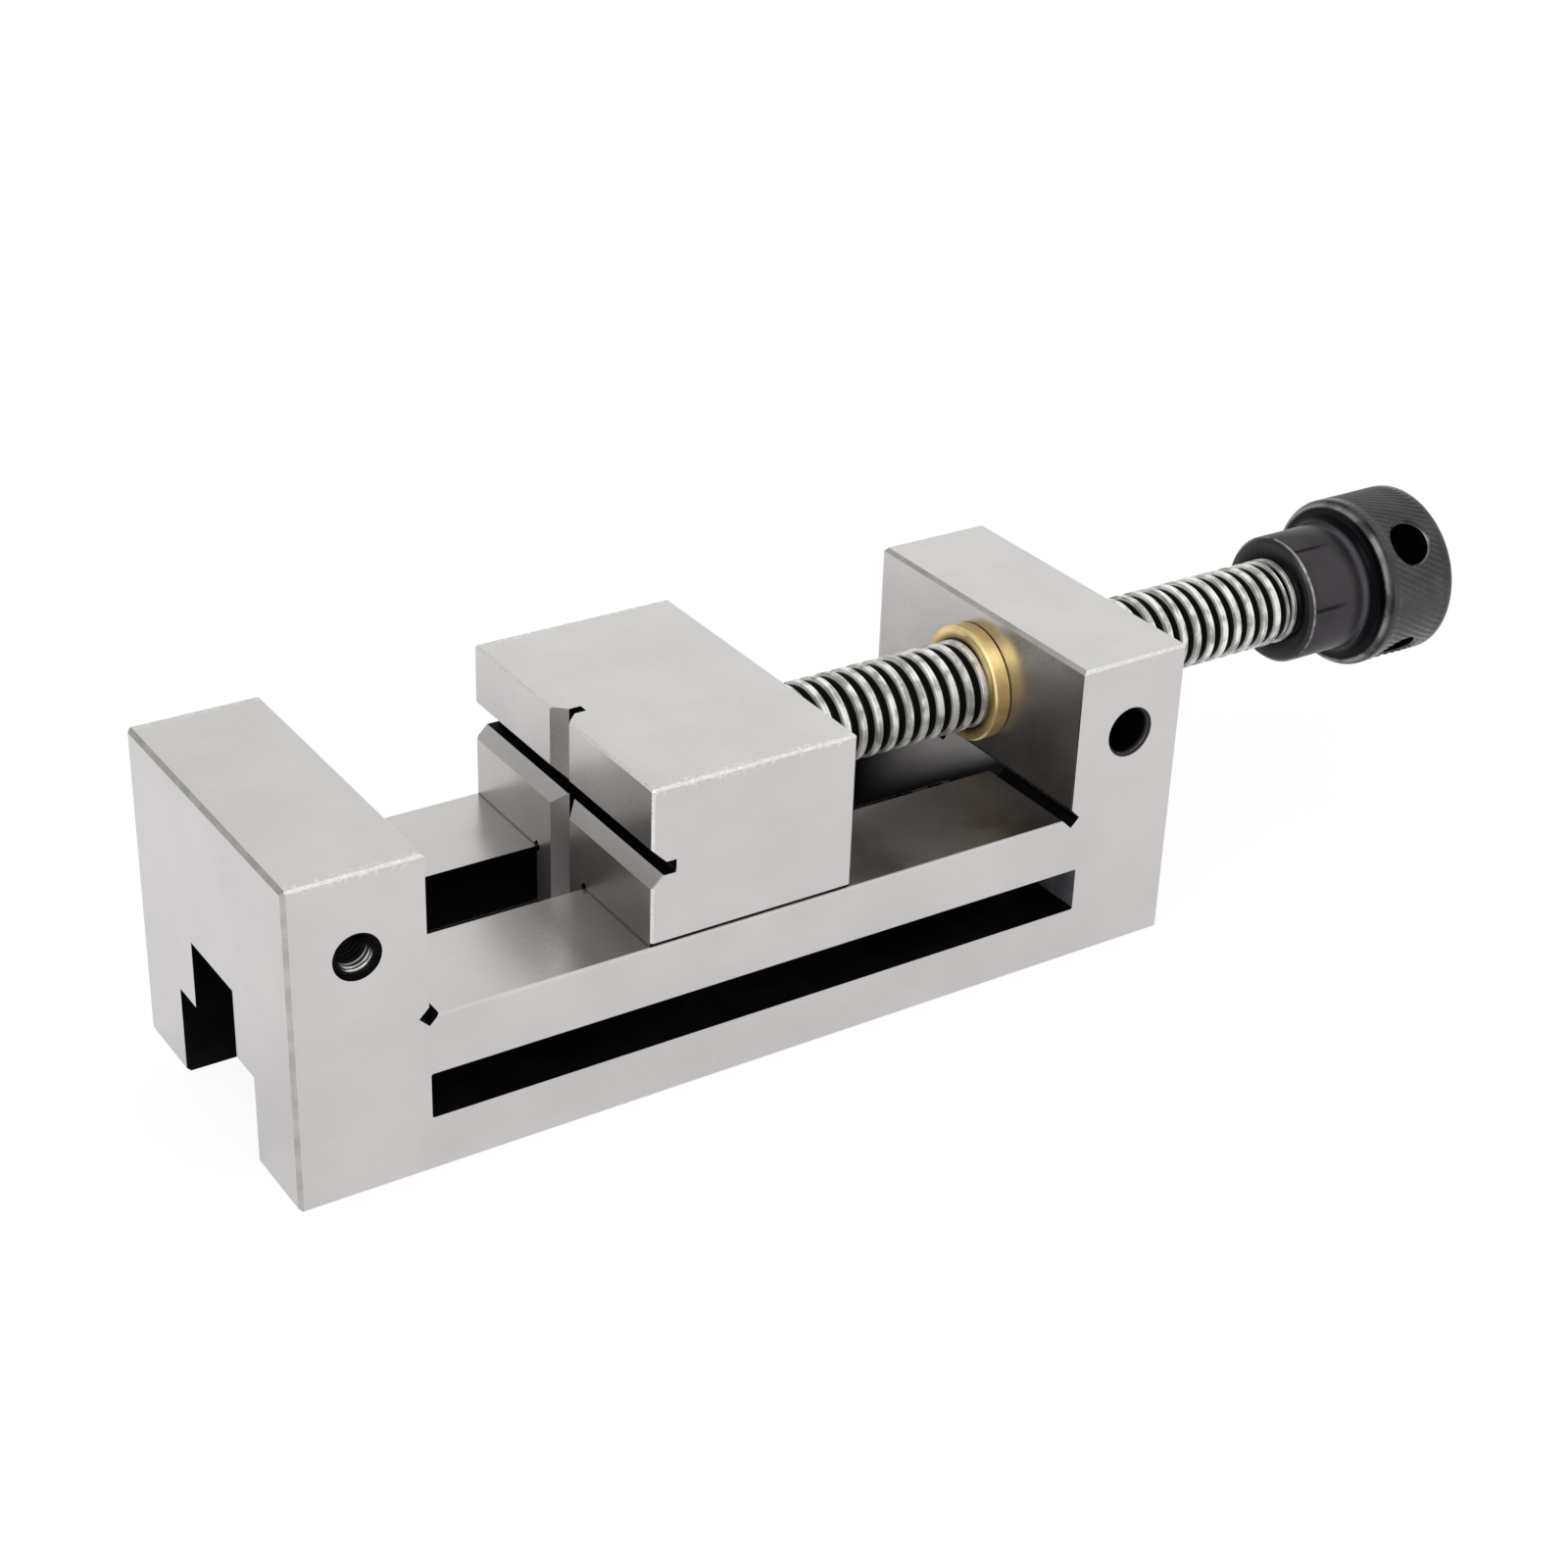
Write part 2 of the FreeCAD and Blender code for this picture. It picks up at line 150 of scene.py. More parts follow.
def split(tree, vector):
    made = tree.nodes.new("ShaderNodeSeparateXYZ")
    feed(tree, vector, made.inputs[0])
    return made.outputs


def newTree(name, kind, inputs, outputs):
    # an input is given by its default value, or by its kind where it has none
    kinds = {float: "Float", int: "Int", tuple: "Vector"}
    tree = bpy.data.node_groups.new(name, kind)
    for label, value in inputs.items():
        word = value if isinstance(value, str) else kinds[type(value)]
        socket = tree.interface.new_socket(label, in_out="INPUT", socket_type="NodeSocket" + word)
        if not isinstance(value, str):
            socket.default_value = value
    for label, word in outputs.items():
        tree.interface.new_socket(label, in_out="OUTPUT", socket_type="NodeSocket" + word)
    return tree, tree.nodes.new("NodeGroupInput").outputs, tree.nodes.new("NodeGroupOutput").inputs


# shader groups shared by the finishes
def makeGrindGroup():
    # fine parallel lines left by a grinding wheel, they run along the first axis
    tree, given, out = newTree(
        "grindLines",
        "ShaderNodeTree",
        {"Vector": "Vector", "Lines": 5200.0, "Stretch": 60.0},
        {"Height": "Float", "Shade": "Float"},
    )
    x, y, z = split(tree, given["Vector"])
    lines = given["Lines"]
    along = calc(tree, "DIVIDE", lines, given["Stretch"])
    stretched = joined(tree, times(tree, x, along), times(tree, y, lines), times(tree, z, lines))
    fine = noise(tree, stretched, 1.0, 2.0)
    wide = noise(tree, stretched, 0.16, 3.0)
    feed(tree, calc(tree, "MULTIPLY_ADD", fine, 0.6, times(tree, wide, 0.4)), out["Height"])
    feed(tree, ease(tree, wide, 0.3, 0.7), out["Shade"])
    return tree


def makeMottleGroup():
    # slow cloudy patches and a few fine scratches in every direction
    tree, given, out = newTree(
        "handlingMarks",
        "ShaderNodeTree",
        {"Vector": "Vector", "Patch Scale": 45.0, "Scratch Scale": 260.0},
        {"Patches": "Float", "Scratches": "Float"},
    )
    cloud = noise(tree, given["Vector"], given["Patch Scale"], 4.0)
    feed(tree, ease(tree, cloud, 0.35, 0.68), out["Patches"])
    lines = []
    for angle, seed in ((0.5, 0.0), (-0.8, 7.0), (1.9, 13.0)):
        turned = tree.nodes.new("ShaderNodeMapping")
        feed(tree, given["Vector"], turned.inputs["Vector"])
        turned.inputs["Rotation"].default_value = (angle, angle * 0.7, angle * 1.3)
        turned.inputs["Location"].default_value = (seed, seed, 0)
        x, y, z = split(tree, turned.outputs[0])
        thin = noise(tree, joined(tree, times(tree, x, 0.06), y, z), given["Scratch Scale"], 1.0)
        off = calc(tree, "ABSOLUTE", calc(tree, "SUBTRACT", thin, 0.5))
        lines.append(ease(tree, off, 0.0, 0.006, 1.0, 0.0))
    scratch = calc(tree, "MAXIMUM", lines[0], calc(tree, "MAXIMUM", lines[1], lines[2]))
    feed(tree, times(tree, scratch, ease(tree, cloud, 0.5, 0.62)), out["Scratches"])
    return tree


def makeTurningGroup():
    # rings left by a lathe tool round the screw's axis
    tree, given, out = newTree(
        "turningMarks",
        "ShaderNodeTree",
        {"Vector": "Vector", "Axis Height": place["axisHeight"] * mm, "Feed": 5000.0},
        {"Height": "Float", "Radius": "Float", "Turn": "Float"},
    )
    x, y, z = split(tree, given["Vector"])
    up = calc(tree, "SUBTRACT", z, given["Axis Height"])
    radius = distance(tree, y, up)
    turn = calc(tree, "ARCTAN2", up, y)
    tool = given["Feed"]
    wander = times(tree, calc(tree, "SINE", turn), 1.5)
    ring = noise(tree, joined(tree, times(tree, x, tool), times(tree, radius, tool), wander), 1.0, 2.0)
    feed(tree, ring, out["Height"])
    feed(tree, radius, out["Radius"])
    feed(tree, turn, out["Turn"])
    return tree


def makeFilmShadeGroup():
    # dull oily film and painted shade in the sheltered places between the jaws and the post, stronger low
    # down and on the -Y side
    tree, given, out = newTree(
        "shelterFilmShade",
        "ShaderNodeTree",
        {
            "Vector": "Vector",
            "Clear X": 0.0,
            "Full X": 0.1,
            "Last X": 0.1522,
            "Clear Z": 0.075,
            "Full Z": 0.036,
            "Bottom Z": 0.03,
            "Far Side": 0.5,
        },
        {"FilmShade": "Float"},
    )
    x, y, z = split(tree, given["Vector"])
    side = ease(tree, y, 0.036, -0.036, given["Far Side"], 1.0)
    inside = ease(tree, calc(tree, "ABSOLUTE", y), 0.0358, 0.0363, 1.0, 0.0)
    ends = ease(tree, x, given["Last X"], calc(tree, "ADD", given["Last X"], 0.0002), 1.0, 0.0)
    along = ease(tree, x, given["Clear X"], given["Full X"])
    down = ease(tree, z, given["Clear Z"], given["Full Z"])
    above = calc(tree, "GREATER_THAN", z, given["Bottom Z"])
    feed(tree, times(tree, along, down, above, side, inside, ends), out["FilmShade"])
    return tree


grindGroup = makeGrindGroup()
mottleGroup = makeMottleGroup()
turningGroup = makeTurningGroup()
filmShadeGroup = makeFilmShadeGroup()


def newMaterial(name, metallic, roughness):
    made = bpy.data.materials.new(name)
    made.use_nodes = True
    tree = made.node_tree
    shader = tree.nodes["Principled BSDF"]
    shader.inputs["Metallic"].default_value = metallic
    shader.inputs["Roughness"].default_value = roughness
    where = tree.nodes.new("ShaderNodeTexCoord").outputs["Object"]
    return made, tree, shader, where


def placeGroup(tree, group, where, **values):
    made = tree.nodes.new("ShaderNodeGroup")
    made.node_tree = group
    feed(tree, where, made.inputs["Vector"])
    for name, value in values.items():
        feed(tree, value, made.inputs[name.replace("_", " ")])
    return made.outputs


def mixColours(tree, share, a, b):
    made = tree.nodes.new("ShaderNodeMix")
    made.data_type = "RGBA"
    feed(tree, share, made.inputs[0])
    feed(tree, a, made.inputs[6])
    feed(tree, b, made.inputs[7])
    return made.outputs[2]


def addBump(tree, shader, height, distance, strength):
    bump = tree.nodes.new("ShaderNodeBump")
    bump.inputs["Strength"].default_value = strength
    bump.inputs["Distance"].default_value = distance
    feed(tree, height, bump.inputs["Height"])
    feed(tree, bump.outputs[0], shader.inputs["Normal"])


def makeGroundSteel(name, filmShadeColour=None, **filmShade):
    look = {
        "light": (0.635, 0.619, 0.602, 1),
        "shade": (0.585, 0.569, 0.558, 1),
        "scratch": (0.72, 0.71, 0.69, 1),
        "rim": (0.9, 0.89, 0.86, 1),
        "rimSide": (2.6 * mm, 0.6 * mm),  # from the side face inwards
        "rimTop": (2.0 * mm, 0.4 * mm),  # from the top face down
        "rimFade": (100.0 * mm, 150.0 * mm),  # along x, the post has hardly any
        "nickScale": 900.0,
        "nickStrength": 0.55,
        "filmRough": 0.4,
        "filmMetal": 0.72,
    }
    made, tree, shader, where = newMaterial(name, 1.0, 0.22)
    grind = placeGroup(tree, grindGroup, where)
    marks = placeGroup(tree, mottleGroup, where)
    tone = calc(tree, "MULTIPLY_ADD", marks["Patches"], 0.7, times(tree, grind["Shade"], 0.12))
    colour = mixColours(tree, tone, look["light"], look["shade"])
    colour = mixColours(tree, times(tree, marks["Scratches"], 0.2), colour, look["scratch"])
    rough = ease(tree, grind["Height"], 0.3, 0.7, 0.21, 0.26)
    # small bright nicks along the top side edges
    x, y, z = split(tree, where)
    side, top = place["halfWidth"] * mm, place["bodyHeight"] * mm
    atSide = ease(tree, calc(tree, "ABSOLUTE", y), *[side - inset for inset in look["rimSide"]])
    atTop = ease(tree, z, *[top - drop for drop in look["rimTop"]])
    atFront = ease(tree, x, *look["rimFade"], 1.0, 0.15)
    nicks = ease(tree, noise(tree, where, look["nickScale"], 3.0), 0.5, 0.62, 0.0, look["nickStrength"])
    colour = mixColours(tree, times(tree, atSide, atTop, atFront, nicks), colour, look["rim"])
    # the film darkens the sheltered faces: partly an oily film, partly painted shade
    if filmShade:
        cover = placeGroup(tree, filmShadeGroup, where, **filmShade)["FilmShade"]
        cover = times(tree, cover, ease(tree, marks["Patches"], 0.0, 1.0, 0.88, 1.0))
        colour = mixColours(tree, cover, colour, filmShadeColour)
        rough = blendFloat(tree, cover, rough, look["filmRough"])
        feed(tree, blendFloat(tree, cover, 1.0, look["filmMetal"]), shader.inputs["Metallic"])
    feed(tree, colour, shader.inputs["Base Color"])
    feed(tree, rough, shader.inputs["Roughness"])
    addBump(tree, shader, grind["Height"], 0.000003, 0.15)
    return made


def makeChamferSteel():
    # hand-filed rims, a shade darker than the ground faces
    look = {"light": (0.52, 0.51, 0.465, 1), "shade": (0.42, 0.41, 0.38, 1)}
    made, tree, shader, where = newMaterial("filedChamfer", 1.0, 0.32)
    patches = placeGroup(tree, mottleGroup, where, Patch_Scale=220.0)["Patches"]
    feed(tree, mixColours(tree, patches, look["light"], look["shade"]), shader.inputs["Base Color"])
    feed(tree, ease(tree, patches, 0.0, 1.0, 0.26, 0.4), shader.inputs["Roughness"])
    return made


def makeTappedSteel():
    # cut thread in the stop hole, near black, with a painted highlight on its lowest crests near the mouth
    look = {
        "black": (0.006, 0.006, 0.006, 1),
        "bareAndGlint": (0.8, 0.78, 0.74, 1),
        "crest": (3.45 * mm, 3.8 * mm),  # radius where a crest ends
        "low": (1.2 * mm, 3.2 * mm),  # below the hole's axis
        "near": (-31.5 * mm, -34.5 * mm),  # y near the mouth
    }
    made, tree, shader, where = newMaterial("tappedSteel", 1.0, 0.2)
    patches = placeGroup(tree, mottleGroup, where, Patch_Scale=500.0)["Patches"]
    x, y, z = split(tree, where)
    off = calc(tree, "ADD", x, -bodyLook["stopHoleX"] * mm)
    up = calc(tree, "SUBTRACT", z, place["axisHeight"] * mm)
    crest = ease(tree, distance(tree, off, up), *look["crest"], 1.0, 0.0)
    low = ease(tree, calc(tree, "MULTIPLY_ADD", off, 0.35, times(tree, up, -1.0)), *look["low"])
    near = ease(tree, y, *look["near"])
    # painted highlight: the crests are bright only below the hole's axis and near the mouth
    bareAndGlint = times(tree, crest, low, near, ease(tree, patches, 0.0, 1.0, 1.0, 0.6))
    feed(tree, mixColours(tree, bareAndGlint, look["black"], look["bareAndGlint"]), shader.inputs["Base Color"])
    feed(tree, ease(tree, patches, 0.0, 1.0, 0.16, 0.32), shader.inputs["Roughness"])
    return made


def makeSlotEnd():
    # ends of the clamp slots, left by a milling cutter
    look = {"light": (0.16, 0.155, 0.18, 1), "shade": (0.1, 0.097, 0.11, 1)}
    made, tree, shader, where = newMaterial("milledEnd", 0.3, 0.5)
    patches = placeGroup(tree, mottleGroup, where, Patch_Scale=160.0)["Patches"]
    feed(tree, mixColours(tree, patches, look["light"], look["shade"]), shader.inputs["Base Color"])
    addBump(tree, shader, patches, 0.00003, 0.4)
    return made


def makeNeckWall():
    # walls under the screw, black at the front, with a painted patch of light towards the post
    look = {
        "black": (0.0015, 0.0014, 0.0014, 1),
        "litPatch": (0.8, 0.77, 0.76, 1),
        "litPatchFrom": (107.0 * mm, 133.0 * mm),
        "litPatchAbove": (22.0 * mm, 34.0 * mm),
        "lean": 2.0,  # the painted light reaches the far wall sooner
    }
    made, tree, shader, where = newMaterial("neckWall", 0.6, 0.35)
    patches = placeGroup(tree, mottleGroup, where, Patch_Scale=60.0)["Patches"]
    x, y, z = split(tree, where)
    # painted light: the lit patch grows towards the post and up the wall
    litPatch = ease(tree, calc(tree, "SUBTRACT", x, times(tree, y, look["lean"])), *look["litPatchFrom"])
    litPatch = times(tree, litPatch, ease(tree, patches, 0.0, 1.0, 1.0, 0.7), ease(tree, z, *look["litPatchAbove"]))
    feed(tree, mixColours(tree, litPatch, look["black"], look["litPatch"]), shader.inputs["Base Color"])
    feed(tree, blendFloat(tree, litPatch, 0.6, 0.1), shader.inputs["Metallic"])
    shader.inputs["Specular IOR Level"].default_value = 0.1
    return made


def makeBlackScale():
    # faces that the grinder never reaches keep the black skin of the hardening
    look = {
        "skin": (0.0012, 0.0012, 0.0014, 1),
        "worn": (0.0045, 0.004, 0.0038, 1),
        "lip": (0.032, 0.032, 0.034, 1),
        "lipDepth": (1.1 * mm, 1.7 * mm),
        "lipStart": (156.0 * mm, 158.0 * mm),  # only the post's side hole has one
    }
    made, tree, shader, where = newMaterial("blackScale", 0.0, 0.5)
    shader.inputs["Specular IOR Level"].default_value = 0.03
    patches = placeGroup(tree, mottleGroup, where, Patch_Scale=90.0)["Patches"]
    colour = mixColours(tree, patches, look["skin"], look["worn"])
    x, y, z = split(tree, where)
    depth = calc(tree, "ADD", y, place["halfWidth"] * mm)
    # inside the post's side hole the wall is grey at the mouth and black deeper in: painted shade
    lip = times(tree, ease(tree, depth, *look["lipDepth"], 1.0, 0.0), ease(tree, x, *look["lipStart"]))
    feed(tree, mixColours(tree, lip, colour, look["lip"]), shader.inputs["Base Color"])
    feed(tree, ease(tree, patches, 0.0, 1.0, 0.6, 0.42), shader.inputs["Roughness"])
    addBump(tree, shader, patches, 0.00003, 0.4)
    return made


def makeStonedEdgeHighlight():
    # edges broken by hand with a stone, with small flecks; their bright colour is partly painted highlight
    look = {"bright": (0.86, 0.85, 0.825, 1), "dull": (0.72, 0.705, 0.69, 1)}
    made, tree, shader, where = newMaterial("stonedEdgeHighlight", 1.0, 0.4)
    flecks = noise(tree, where, 1500.0, 3.0, 0.7)
    dull = ease(tree, flecks, 0.4, 0.58)
    feed(tree, mixColours(tree, dull, look["bright"], look["dull"]), shader.inputs["Base Color"])
    feed(tree, ease(tree, flecks, 0.3, 0.7, 0.3, 0.5), shader.inputs["Roughness"])
    addBump(tree, shader, flecks, 0.00003, 0.15)
    return made


def makeScrewSteel():
    look = {
        "crest": (0.9, 0.89, 0.86, 1),
        "crestDark": (0.3, 0.3, 0.28, 1),
        "flank": (0.8, 0.8, 0.76, 1),
        "root": (0.008, 0.008, 0.006, 1),
        "rootRadius": 9.1 * mm,
        "flankRadius": 9.5 * mm,
        "crestRadius": 9.8 * mm,
    }
    made, tree, shader, where = newMaterial("screwSteel", 1.0, 0.3)
    rings = placeGroup(tree, turningGroup, where, Feed=2600.0)
    marks = placeGroup(tree, mottleGroup, where, Patch_Scale=260.0, Scratch_Scale=500.0)
    streak = calc(tree, "MULTIPLY_ADD", marks["Patches"], 0.35, times(tree, rings["Height"], 0.85))
    crest = mixColours(tree, ease(tree, streak, 0.38, 0.85), look["crest"], look["crestDark"])
    onFlank = ease(tree, rings["Radius"], look["rootRadius"], look["flankRadius"])
    onCrest = ease(tree, rings["Radius"], look["flankRadius"], look["crestRadius"])
    # the roots are near black, the flanks and crests bright
    rootToFlank = times(tree, onFlank, ease(tree, marks["Patches"], 0.0, 1.0, 1.0, 0.75))
    colour = mixColours(tree, rootToFlank, look["root"], look["flank"])
    colour = mixColours(tree, onCrest, colour, crest)
    feed(tree, colour, shader.inputs["Base Color"])
    feed(tree, blendFloat(tree, onFlank, 0.0, 0.5), shader.inputs["Metallic"])
    shader.inputs["Specular IOR Level"].default_value = 0.2
    feed(tree, ease(tree, rings["Height"], 0.3, 0.7, 0.28, 0.45), shader.inputs["Roughness"])
    addBump(tree, shader, rings["Height"], 0.00001, 0.6)
    return made


def makeBrass():
    look = {
        "bright": (0.97, 0.74, 0.32, 1),
        "brown": (0.66, 0.46, 0.18, 1),
        "nutShade": (0.09, 0.055, 0.022, 1),
        "nutShadeStart": 10.5 * mm,
        "nutShadeEnd": 12.2 * mm,
    }
    made, tree, shader, where = newMaterial("turnedBrass", 0.65, 0.25)
    rings = placeGroup(tree, turningGroup, where, Feed=4200.0)
    marks = placeGroup(tree, mottleGroup, where, Patch_Scale=110.0)
    tone = calc(tree, "MULTIPLY_ADD", rings["Height"], 0.35, times(tree, marks["Patches"], 0.6))
    colour = mixColours(tree, ease(tree, tone, 0.2, 0.85), look["bright"], look["brown"])
    # painted shade darkens the face next to the screw
    nutShade = ease(tree, rings["Radius"], look["nutShadeStart"], look["nutShadeEnd"], 0.85, 0.0)
    feed(tree, mixColours(tree, nutShade, colour, look["nutShade"]), shader.inputs["Base Color"])
    feed(tree, ease(tree, rings["Height"], 0.3, 0.7, 0.18, 0.34), shader.inputs["Roughness"])
    addBump(tree, shader, rings["Height"], 0.000006, 0.6)
    return made


def makeBrassEdgeHighlight():
    # the nut's chamfer, made brighter than its face: painted highlight
    look = {"bright": (0.95, 0.84, 0.5, 1), "dull": (0.8, 0.64, 0.3, 1)}
    made, tree, shader, where = newMaterial("brassEdgeHighlight", 1.0, 0.3)
    rings = placeGroup(tree, turningGroup, where, Feed=4200.0)
    feed(tree, mixColours(tree, rings["Height"], look["bright"], look["dull"]), shader.inputs["Base Color"])
    return made


def makeBlackOxide():
    look = {
        "skin": (0.009, 0.0078, 0.0098, 1),
        "thin": (0.025, 0.0215, 0.0258, 1),
        "bareAndGlint": (0.2, 0.19, 0.19, 1),
    }
    made, tree, shader, where = newMaterial("blackOxide", 0.0, 0.34)
    rings = placeGroup(tree, turningGroup, where, Feed=3600.0)
    marks = placeGroup(tree, mottleGroup, where, Patch_Scale=120.0, Scratch_Scale=420.0)
    tone = calc(tree, "MULTIPLY_ADD", rings["Height"], 0.5, times(tree, marks["Patches"], 0.5))
    colour = mixColours(tree, ease(tree, tone, 0.25, 0.8), look["skin"], look["thin"])
    colour = mixColours(tree, times(tree, marks["Scratches"], 0.25), colour, look["bareAndGlint"])
    feed(tree, colour, shader.inputs["Base Color"])
    feed(tree, ease(tree, rings["Height"], 0.3, 0.7, 0.18, 0.28), shader.inputs["Roughness"])
    addBump(tree, shader, rings["Height"], 0.00001, 0.25)
    return made


def makeHubOxide():
    # turned hub, browner than the head, with two dark lines along it
    look = {
        "grey": (0.044, 0.044, 0.047, 1),
        "brown": (0.064, 0.055, 0.062, 1),
        "streak": (0.088, 0.084, 0.095, 1),
        "line": (0.004, 0.004, 0.005, 1),
        "black": (0.0015, 0.0015, 0.002, 1),
        "lineAngles": (111.0, 170.0),
        "lineFade": 243.0 * mm,
        "lineEnd": 251.0 * mm,
        "sideRadius": 14.6 * mm,
        "hubShadeStart": 9.5 * mm,
        "hubShadeEnd": 14.2 * mm,
        "shadeStart": 249.5 * mm,
        "shadeEnd": 252.5 * mm,
        "filletHighlightEnd": 254.2 * mm,
        "cornerEnd": 255.6 * mm,
    }
    made, tree, shader, where = newMaterial("hubOxide", 1.0, 0.27)
    rings = placeGroup(tree, turningGroup, where, Feed=3600.0)
    marks = placeGroup(tree, mottleGroup, where, Patch_Scale=75.0, Scratch_Scale=420.0)
    x = split(tree, where)[0]
    onSide = calc(tree, "GREATER_THAN", rings["Radius"], look["sideRadius"])
    tone = calc(tree, "MULTIPLY_ADD", rings["Height"], 0.3, times(tree, marks["Patches"], 0.7))
    tone = times(tree, ease(tree, tone, 0.2, 0.75), onSide)
    colour = mixColours(tree, tone, look["grey"], look["brown"])
    lineLength = times(tree, onSide, ease(tree, x, look["lineFade"], look["lineEnd"], 1.0, 0.0))
    for degrees in look["lineAngles"]:
        off = calc(tree, "ABSOLUTE", calc(tree, "SUBTRACT", rings["Turn"], math.radians(degrees)))
        line = times(tree, ease(tree, off, 0.01, 0.05, 0.75, 0.0), lineLength)
        colour = mixColours(tree, line, colour, look["line"])
    # painted shade round the screw and in the corner before the head, broken by a painted highlight on the
    # fillet
    hubShade = ease(tree, rings["Radius"], look["hubShadeStart"], look["hubShadeEnd"], 0.92, 0.0)
    hubShade = times(tree, hubShade, calc(tree, "LESS_THAN", rings["Radius"], look["hubShadeEnd"]))
    # painted highlight: a lighter band on the fillet before the head
    streak = ease(tree, x, look["shadeEnd"], look["filletHighlightEnd"])
    colour = mixColours(tree, streak, colour, look["streak"])
    # painted shade in the corner before the head
    corner = ease(tree, x, look["shadeStart"], look["shadeEnd"], 0.0, 0.6)
    corner = times(tree, corner, calc(tree, "SUBTRACT", 1.0, streak))
    corner = calc(tree, "MAXIMUM", corner, ease(tree, x, look["filletHighlightEnd"], look["cornerEnd"], 0.0, 0.95))
    colour = mixColours(tree, calc(tree, "MAXIMUM", hubShade, corner), colour, look["black"])
    feed(tree, colour, shader.inputs["Base Color"])
    feed(tree, ease(tree, marks["Patches"], 0.0, 1.0, 0.22, 0.32), shader.inputs["Roughness"])
    addBump(tree, shader, rings["Height"], 0.00001, 0.25)
    return made


def makeOxideWornSheen():
    # rounded front of the knob's head, rubbed along its outer part, with a painted highlight in the same
    # band
    look = {
        "dark": (0.012, 0.012, 0.014, 1),
        "rubbedSheen": (0.32, 0.305, 0.32, 1),
        "sheenStart": 18.2 * mm,
        "sheenFull": 18.9 * mm,
        "sheenEnd": 19.9 * mm,
    }
    made, tree, shader, where = newMaterial("wornOxideSheen", 1.0, 0.3)
    rings = placeGroup(tree, turningGroup, where, Feed=3600.0)
    marks = placeGroup(tree, mottleGroup, where, Patch_Scale=170.0)
    # painted highlight: a bright band round the outer part of the head's front
    sheenBand = ease(tree, rings["Radius"], look["sheenStart"], look["sheenFull"])
    sheenBand = times(tree, sheenBand, ease(tree, rings["Radius"], look["sheenFull"], look["sheenEnd"], 1.0, 0.15))
    sheenBand = times(tree, sheenBand, ease(tree, marks["Patches"], 0.0, 1.0, 1.0, 0.25))
    feed(tree, mixColours(tree, sheenBand, look["dark"], look["rubbedSheen"]), shader.inputs["Base Color"])
    feed(tree, ease(tree, marks["Patches"], 0.0, 1.0, 0.36, 0.26), shader.inputs["Roughness"])
    addBump(tree, shader, marks["Patches"], 0.00002, 0.3)
    return made


def makeOxideEdge():
    # thin bright line where the black has rubbed off the corners, partly painted highlight
    look = {"rubbedSheen": (0.34, 0.33, 0.33, 1), "dark": (0.05, 0.047, 0.05, 1)}
    made, tree, shader, where = newMaterial("rubbedEdgeSheen", 1.0, 0.25)
    patches = placeGroup(tree, mottleGroup, where, Patch_Scale=300.0)["Patches"]
    feed(tree, mixColours(tree, patches, look["rubbedSheen"], look["dark"]), shader.inputs["Base Color"])
    feed(tree, ease(tree, patches, 0.0, 1.0, 0.22, 0.36), shader.inputs["Roughness"])
    return made


finish = {
    "ground": makeGroundSteel("groundSteel"),
    # the body and the jaw carry the sheltered film, which is partly an oily film and partly painted shade
    "bodyGround": makeGroundSteel(
        "groundSteelBody",
        (0.058, 0.045, 0.037, 1),
        Clear_X=-0.008,
        Full_X=0.112,
        Clear_Z=0.084,
        Full_Z=0.036,
        Far_Side=0.3,
    ),
    "jawGround": makeGroundSteel(
        "groundSteelJaw",
        (0.185, 0.172, 0.16, 1),
        Clear_X=0.0535,
        Full_X=0.0495,
        Clear_Z=0.076,
        Full_Z=0.036,
        Bottom_Z=0.0,
        Far_Side=0.32,
    ),
    "chamfer": makeChamferSteel(),
    "tapped": makeTappedSteel(),
    "slotEnd": makeSlotEnd(),
    "scale": makeBlackScale(),
    "neck": makeNeckWall(),
    "edge": makeStonedEdgeHighlight(),
    "screw": makeScrewSteel(),
    "brass": makeBrass(),
    "brassEdgeHighlight": makeBrassEdgeHighlight(),
    "oxide": makeBlackOxide(),
    "hub": makeHubOxide(),
    "oxideEdge": makeOxideEdge(),
    "oxideWornSheen": makeOxideWornSheen(),
}
print("finishes made:", len(finish))


# geometry node trees
def pick(tree, index, values):
    made = tree.nodes.new("GeometryNodeIndexSwitch")
    made.data_type = "FLOAT"
    while len(made.index_switch_items) < len(values):
        made.index_switch_items.new()
    feed(tree, index, made.inputs[0])
    for value, socket in zip(values, list(made.inputs)[1:]):
        feed(tree, value, socket)
    return made.outputs[0]


def coatTree(tree, geometry, material, out):
    real = tree.nodes.new("GeometryNodeRealizeInstances")
    feed(tree, geometry, real.inputs[0])
    coat = tree.nodes.new("GeometryNodeSetMaterial")
    feed(tree, real.outputs[0], coat.inputs["Geometry"])
    feed(tree, material, coat.inputs["Material"])
    feed(tree, coat.outputs[0], out["Geometry"])


def closeTube(tree, geometry, material, out):
    # the tube's first and last columns are merged
    weld = tree.nodes.new("GeometryNodeMergeByDistance")
    feed(tree, geometry, weld.inputs["Geometry"])
    feed(tree, 0.002 * mm, weld.inputs["Distance"])
    coatTree(tree, weld.outputs[0], material, out)


